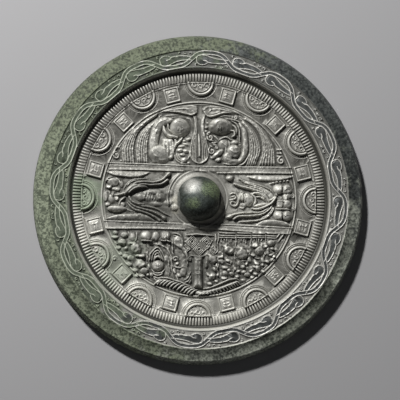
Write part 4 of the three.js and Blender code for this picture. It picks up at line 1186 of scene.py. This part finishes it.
def bronze_material():
    """Grey-brown bronze, with malachite and slate on the rim and a near black knob; in millimetres."""
    n = Nodes("old_bronze")
    coordinates = Value(n, n.node("TexCoord").outputs["Object"])
    place = n.result(n.node("VectorMath", operation="SCALE"), {0: coordinates, "Scale": 1 / MM})
    split = n.node("SeparateXYZ")
    n.plug(split.inputs[0], place)
    x, y, z = (Value(n, socket) for socket in split.outputs)
    radius = n.distance(x, y)

    # Height above the floor that the carving stands on
    on_band = n.ramp(radius, 65.3, SCROLL_INNER_RADIUS)
    on_field = 1.0 - n.ramp(radius, COMB_INNER_RADIUS, 59.2)
    inner_level = COMB_LEVEL - on_field * (COMB_LEVEL - FIELD_LEVEL)
    height = z - (on_band * SCROLL_LEVEL + (1.0 - on_band) * inner_level)

    # Mottling, from fine to broad
    grain = n.noise(place, 2.2, 4.0, 0.7)
    fine = n.noise(place, 0.9, 5.0, 0.65)
    blotch = n.noise(place, 0.16, 4.0, 0.6)
    broad = n.noise(place, 0.05, 2.0, 0.5)
    ragged = blotch - 0.5
    upper = n.ramp(z, 1.6, 2.4)

    def patch(at_x, at_y, far, near, wander):
        """A patch on the upper side, from none at far to full at near, with a ragged border."""
        away = n.distance(x - at_x, y - at_y) + ragged * wander
        return upper * n.ramp(away, far, near)

    # Bare bronze: dirt and painted shade in the hollows, pale worn crests, duller on the worn body and the
    # pillar
    wear_and_hollow_shade = Value(n, n.node("Attribute", attribute_name=WEAR_AND_HOLLOW_SHADE).outputs["Fac"])
    wear_and_shade_level = wear_and_hollow_shade + (grain - 0.5) * 0.3
    dull = n.largest(patch(-25.0, -1.0, 16.0, 7.0, 10.0), patch(-1.0, -34.0, 9.0, 5.0, 4.0))
    pale = n.ramp(wear_and_shade_level, 0.56, 1.0) * (1.0 - dull * 0.75)
    on_ring = n.ramp(radius, 46.0, 50.0)
    # Dark hollows hold dirt and painted shade; both are lessened on the ring
    ring_dirt_and_shade_cut = on_ring * n.ramp(radius, 58.6, 59.4, 0.22, -0.25)
    dirt_and_hollow_shade = n.ramp(wear_and_shade_level, 0.46, 0.16) * (0.78 - ring_dirt_and_shade_cut)
    clean_and_unshaded = 1.0 - dirt_and_hollow_shade
    bronze = n.mix(n.ramp(fine, 0.3, 0.7), (0.25, 0.243, 0.215), (0.34, 0.333, 0.30))
    bronze = n.mix(dirt_and_hollow_shade, bronze, (0.055, 0.054, 0.045))
    bronze = n.mix(pale, bronze, (0.57, 0.56, 0.51))

    # Polished places: the left seated figure and the creature at the right
    polish = n.largest(patch(-14.0, 27.0, 15.0, 6.0, 8.0), patch(28.0, 0.0, 20.0, 9.0, 10.0))
    bronze = n.mix(polish * 0.75 * clean_and_unshaded, bronze, (0.66, 0.65, 0.59))
    bronze = n.mix(dull * 0.5, bronze, (0.12, 0.12, 0.105))

    # The ring is palest at the left and the bottom: a painted sheen
    ring_painted_sheen = n.ramp(x * (-1 / 95) + y * (-1 / 60), 0.0, 1.0, 0.0, 0.95) * on_ring
    bronze = n.mix(ring_painted_sheen * clean_and_unshaded, bronze, (0.60, 0.59, 0.53))

    # Flat forms of the scroll band: dark tops with pale outlines
    band = on_band * (1.0 - n.ramp(radius, 74.4, RIM_INNER_RADIUS))
    dark_top = band * (n.ramp(height, 0.24, 0.31) * (1.0 - n.ramp(height, 0.36, 0.44)))
    # The band's ground is lighter towards the bottom of the disc: a painted sheen
    low = n.ramp(y, 50.0, -70.0)
    ground = n.mix(grain, n.mix(low, (0.10, 0.10, 0.09), (0.22, 0.22, 0.20)),
                   n.mix(low, (0.22, 0.22, 0.20), (0.50, 0.49, 0.44)))
    outline = n.ramp(height, 0.37, 0.45)
    band_color = n.mix(outline, ground, (0.66, 0.65, 0.60))
    band_color = n.mix(dark_top, band_color, n.mix(fine, (0.05, 0.055, 0.054), (0.115, 0.12, 0.115)))
    color = n.mix(band, bronze, band_color)

    # Rim: dark slate on the right and at the top, weathered bronze below
    speckle = fine * 0.75 + blotch * 0.25
    rim = n.ramp(radius, 74.6, 74.9)
    slate = n.mix(n.ramp(fine, 0.36, 0.66), (0.028, 0.032, 0.0315), (0.125, 0.135, 0.127))
    below = n.ramp(y * (-1 / 82) + ragged * 2.4, -0.3, 0.3)
    weathered_rim = n.mix(n.ramp(speckle, 0.40, 0.60), (0.12, 0.13, 0.11), (0.58, 0.61, 0.51))
    color = n.mix(rim, color, n.mix(below, slate, weathered_rim))

    # Malachite: darker towards the top, darker in the hollows with dirt and painted shade, paler inside the
    # band
    green_light = n.mix(grain, (0.15, 0.176, 0.118), (0.42, 0.46, 0.33))
    green_dark = n.mix(grain, (0.035, 0.045, 0.030), (0.12, 0.138, 0.092))
    malachite = n.mix(n.ramp(speckle, 0.43, 0.57), green_dark, green_light)
    shade = n.ramp(y * (1 / 82) + (broad - 0.5) * 1.2, -0.1, 0.6)
    malachite = n.mix(shade, malachite, (0.5, 0.51, 0.47), "MULTIPLY")
    outer = n.ramp(radius, 64.0, 67.0)
    malachite = n.mix(1.0 - outer, malachite, n.mix(grain, (0.20, 0.24, 0.17), (0.42, 0.47, 0.36)))
    malachite = n.mix((1.0 - rim) * dirt_and_hollow_shade, malachite, (0.05, 0.062, 0.042))
    malachite = n.mix(band * outline, malachite, (0.40, 0.43, 0.34))

    # How far green reaches: the left, weaker along the top and the bottom
    reach = x * (-1 / 82) + y * (0.2 / 82) + ragged * 2.0
    green_rim = n.ramp(reach - band * 0.3, -0.3, 0.2) * outer
    lower_right = patch(52.0, -58.0, 34.0, 12.0, 60.0) * rim * 0.3
    green_ring = patch(-57.0, 0.5, 12.0, 5.0, 26.0)
    green_low = patch(-41.0, -33.0, 17.0, 6.0, 42.0) * 0.6
    green = n.largest(n.largest(green_rim, lower_right), n.largest(green_ring, green_low))
    color = n.mix(green, color, malachite)
    color = n.mix(green * dark_top * 0.75, color, n.mix(grain, (0.05, 0.066, 0.046), (0.12, 0.145, 0.10)))

    # Knob: near black with green specks, and a painted highlight on its side towards the light
    knob = (1.0 - n.ramp(radius, 11.2, 11.6)) * n.ramp(z, 4.2, 5.2)
    knob_color = n.mix(n.ramp(fine, 0.4, 0.68), (0.018, 0.022, 0.017), (0.085, 0.10, 0.09))
    crown = patch(-1.0, 0.0, 9.5, 3.0, 9.0) * n.ramp(grain, 0.35, 0.7)
    knob_color = n.mix(crown, knob_color, (0.13, 0.155, 0.14))
    # Pale patch on the knob's upper left, towards the key light: a painted highlight
    knob_painted_highlight = patch(-4.2, 6.4, 6.2, 1.4, 8.0) * n.ramp(grain, 0.25, 0.6, 0.15, 1.0)
    knob_color = n.mix(knob_painted_highlight, knob_color, n.mix(grain, (0.30, 0.30, 0.27), (0.62, 0.61, 0.57)))
    specks = n.largest(patch(5.5, 4.5, 6.5, 2.5, 9.0), patch(-3.5, -3.0, 4.4, 1.6, 6.0))
    knob_color = n.mix(specks * n.ramp(grain, 0.42, 0.6), knob_color, (0.27, 0.34, 0.18))
    color = n.mix(knob, color, knob_color)

    # Cream crust at the mouth of the channel
    crust = n.largest(patch(-12.0, -0.6, 3.4, 0.6, 5.0), patch(-11.8, -5.6, 3.0, 0.6, 5.0))
    crust = crust * n.ramp(grain, 0.35, 0.6) * (1.0 - knob)
    color = n.mix(crust, color, (0.60, 0.575, 0.48))

    # Green is dull and not metallic
    metal = n.blend(green, n.blend(rim, 0.35, 0.25), 0.0)
    rough = n.blend(green, n.blend(rim, 0.5, 0.55), 0.8) + (grain - 0.5) * 0.25
    bump = n.node("Bump")
    bump.inputs["Strength"].default_value = 0.5
    bump.inputs["Distance"].default_value = 0.0002
    n.plug(n.shader.inputs["Base Color"], color)
    n.plug(n.shader.inputs["Metallic"], metal)
    n.plug(n.shader.inputs["Roughness"], rough)
    n.plug(n.shader.inputs["Normal"], n.result(bump, {"Height": grain + fine * 0.8}))
    return n.material


def paper_material():
    n = Nodes("floor_paper")
    n.plug(n.shader.inputs["Base Color"], (0.385, 0.381, 0.386))
    n.plug(n.shader.inputs["Roughness"], 0.9)
    return n.material


# The two pieces of the scene

def mirror_piece(fine):
    """The disc with all its relief, thinned to its number of triangles, with its normals and with a value
    that marks used crests and hollows darkened by grime and painted shade.
    """
    surface = Surface(all_relief(random.Random(RELIEF_SEED)))
    points, faces = disc_mesh(surface, fine)
    mirror = add_object("mirror", make_mesh("mirror", points, faces))
    shrink = mirror.modifiers.new("fewer", "DECIMATE")
    shrink.ratio = min(1.0, (MIRROR_TRIANGLES if fine else QUICK_TRIANGLES) / len(faces))
    applied(mirror)

    mesh = mirror.data
    place = np.empty(len(mesh.vertices) * 3, dtype=np.float32)
    mesh.vertices.foreach_get("co", place)
    x, y, z = (place.reshape(-1, 3) / MM).T.astype(float)
    on_top = (np.hypot(x, y) < RIM_TOP_RADIUS - 0.3) & (z > 2.0)
    normals = np.where(on_top[:, None], surface.normal(x, y), 0.0)
    mesh.normals_split_custom_set_from_vertices(normals.tolist())
    layer = mesh.attributes.new(WEAR_AND_HOLLOW_SHADE, "FLOAT", "POINT")
    layer.data.foreach_set("value", np.where(on_top, surface.wear_and_hollow_shade(x, y), 0.5).astype(np.float32))
    return mirror


def knob_piece():
    """The dome of the knob with the cord's channel cut through it."""
    knob = add_object("knob", knob_mesh())
    channel = add_object("channel", channel_mesh())
    cut = knob.modifiers.new("bore", "BOOLEAN")
    cut.object = channel
    cut.solver = "EXACT"
    applied(knob)
    bpy.data.objects.remove(channel)
    return knob


mirror = mirror_piece(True)
bronze = bronze_material()
for piece in (mirror, knob_piece()):
    piece.data.materials.clear()
    piece.data.materials.append(bronze)
    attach(piece, "root")
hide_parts("bronze_mirror")

place_camera()
area_light("key", 331, 38, 0.95, 0.09, 12.4)
area_light("fill", 150, 70, 1.6, 1.4, 0.35)

world = bpy.data.worlds.new("studio")
bpy.context.scene.world = world
world.use_nodes = True
sky = world.node_tree.nodes["Background"]
sky.inputs[0].default_value = (0.75, 0.78, 0.82, 1)
sky.inputs[1].default_value = 0.035
bpy.context.scene.view_settings.view_transform = "Standard"

corners = np.array([(-1, -1, 0), (1, -1, 0), (1, 1, 0), (-1, 1, 0)]) * FLOOR_HALF
floor = add_object("floor", make_mesh("floor", corners, np.array([(0, 1, 2), (0, 2, 3)])))
floor.data.materials.append(paper_material())
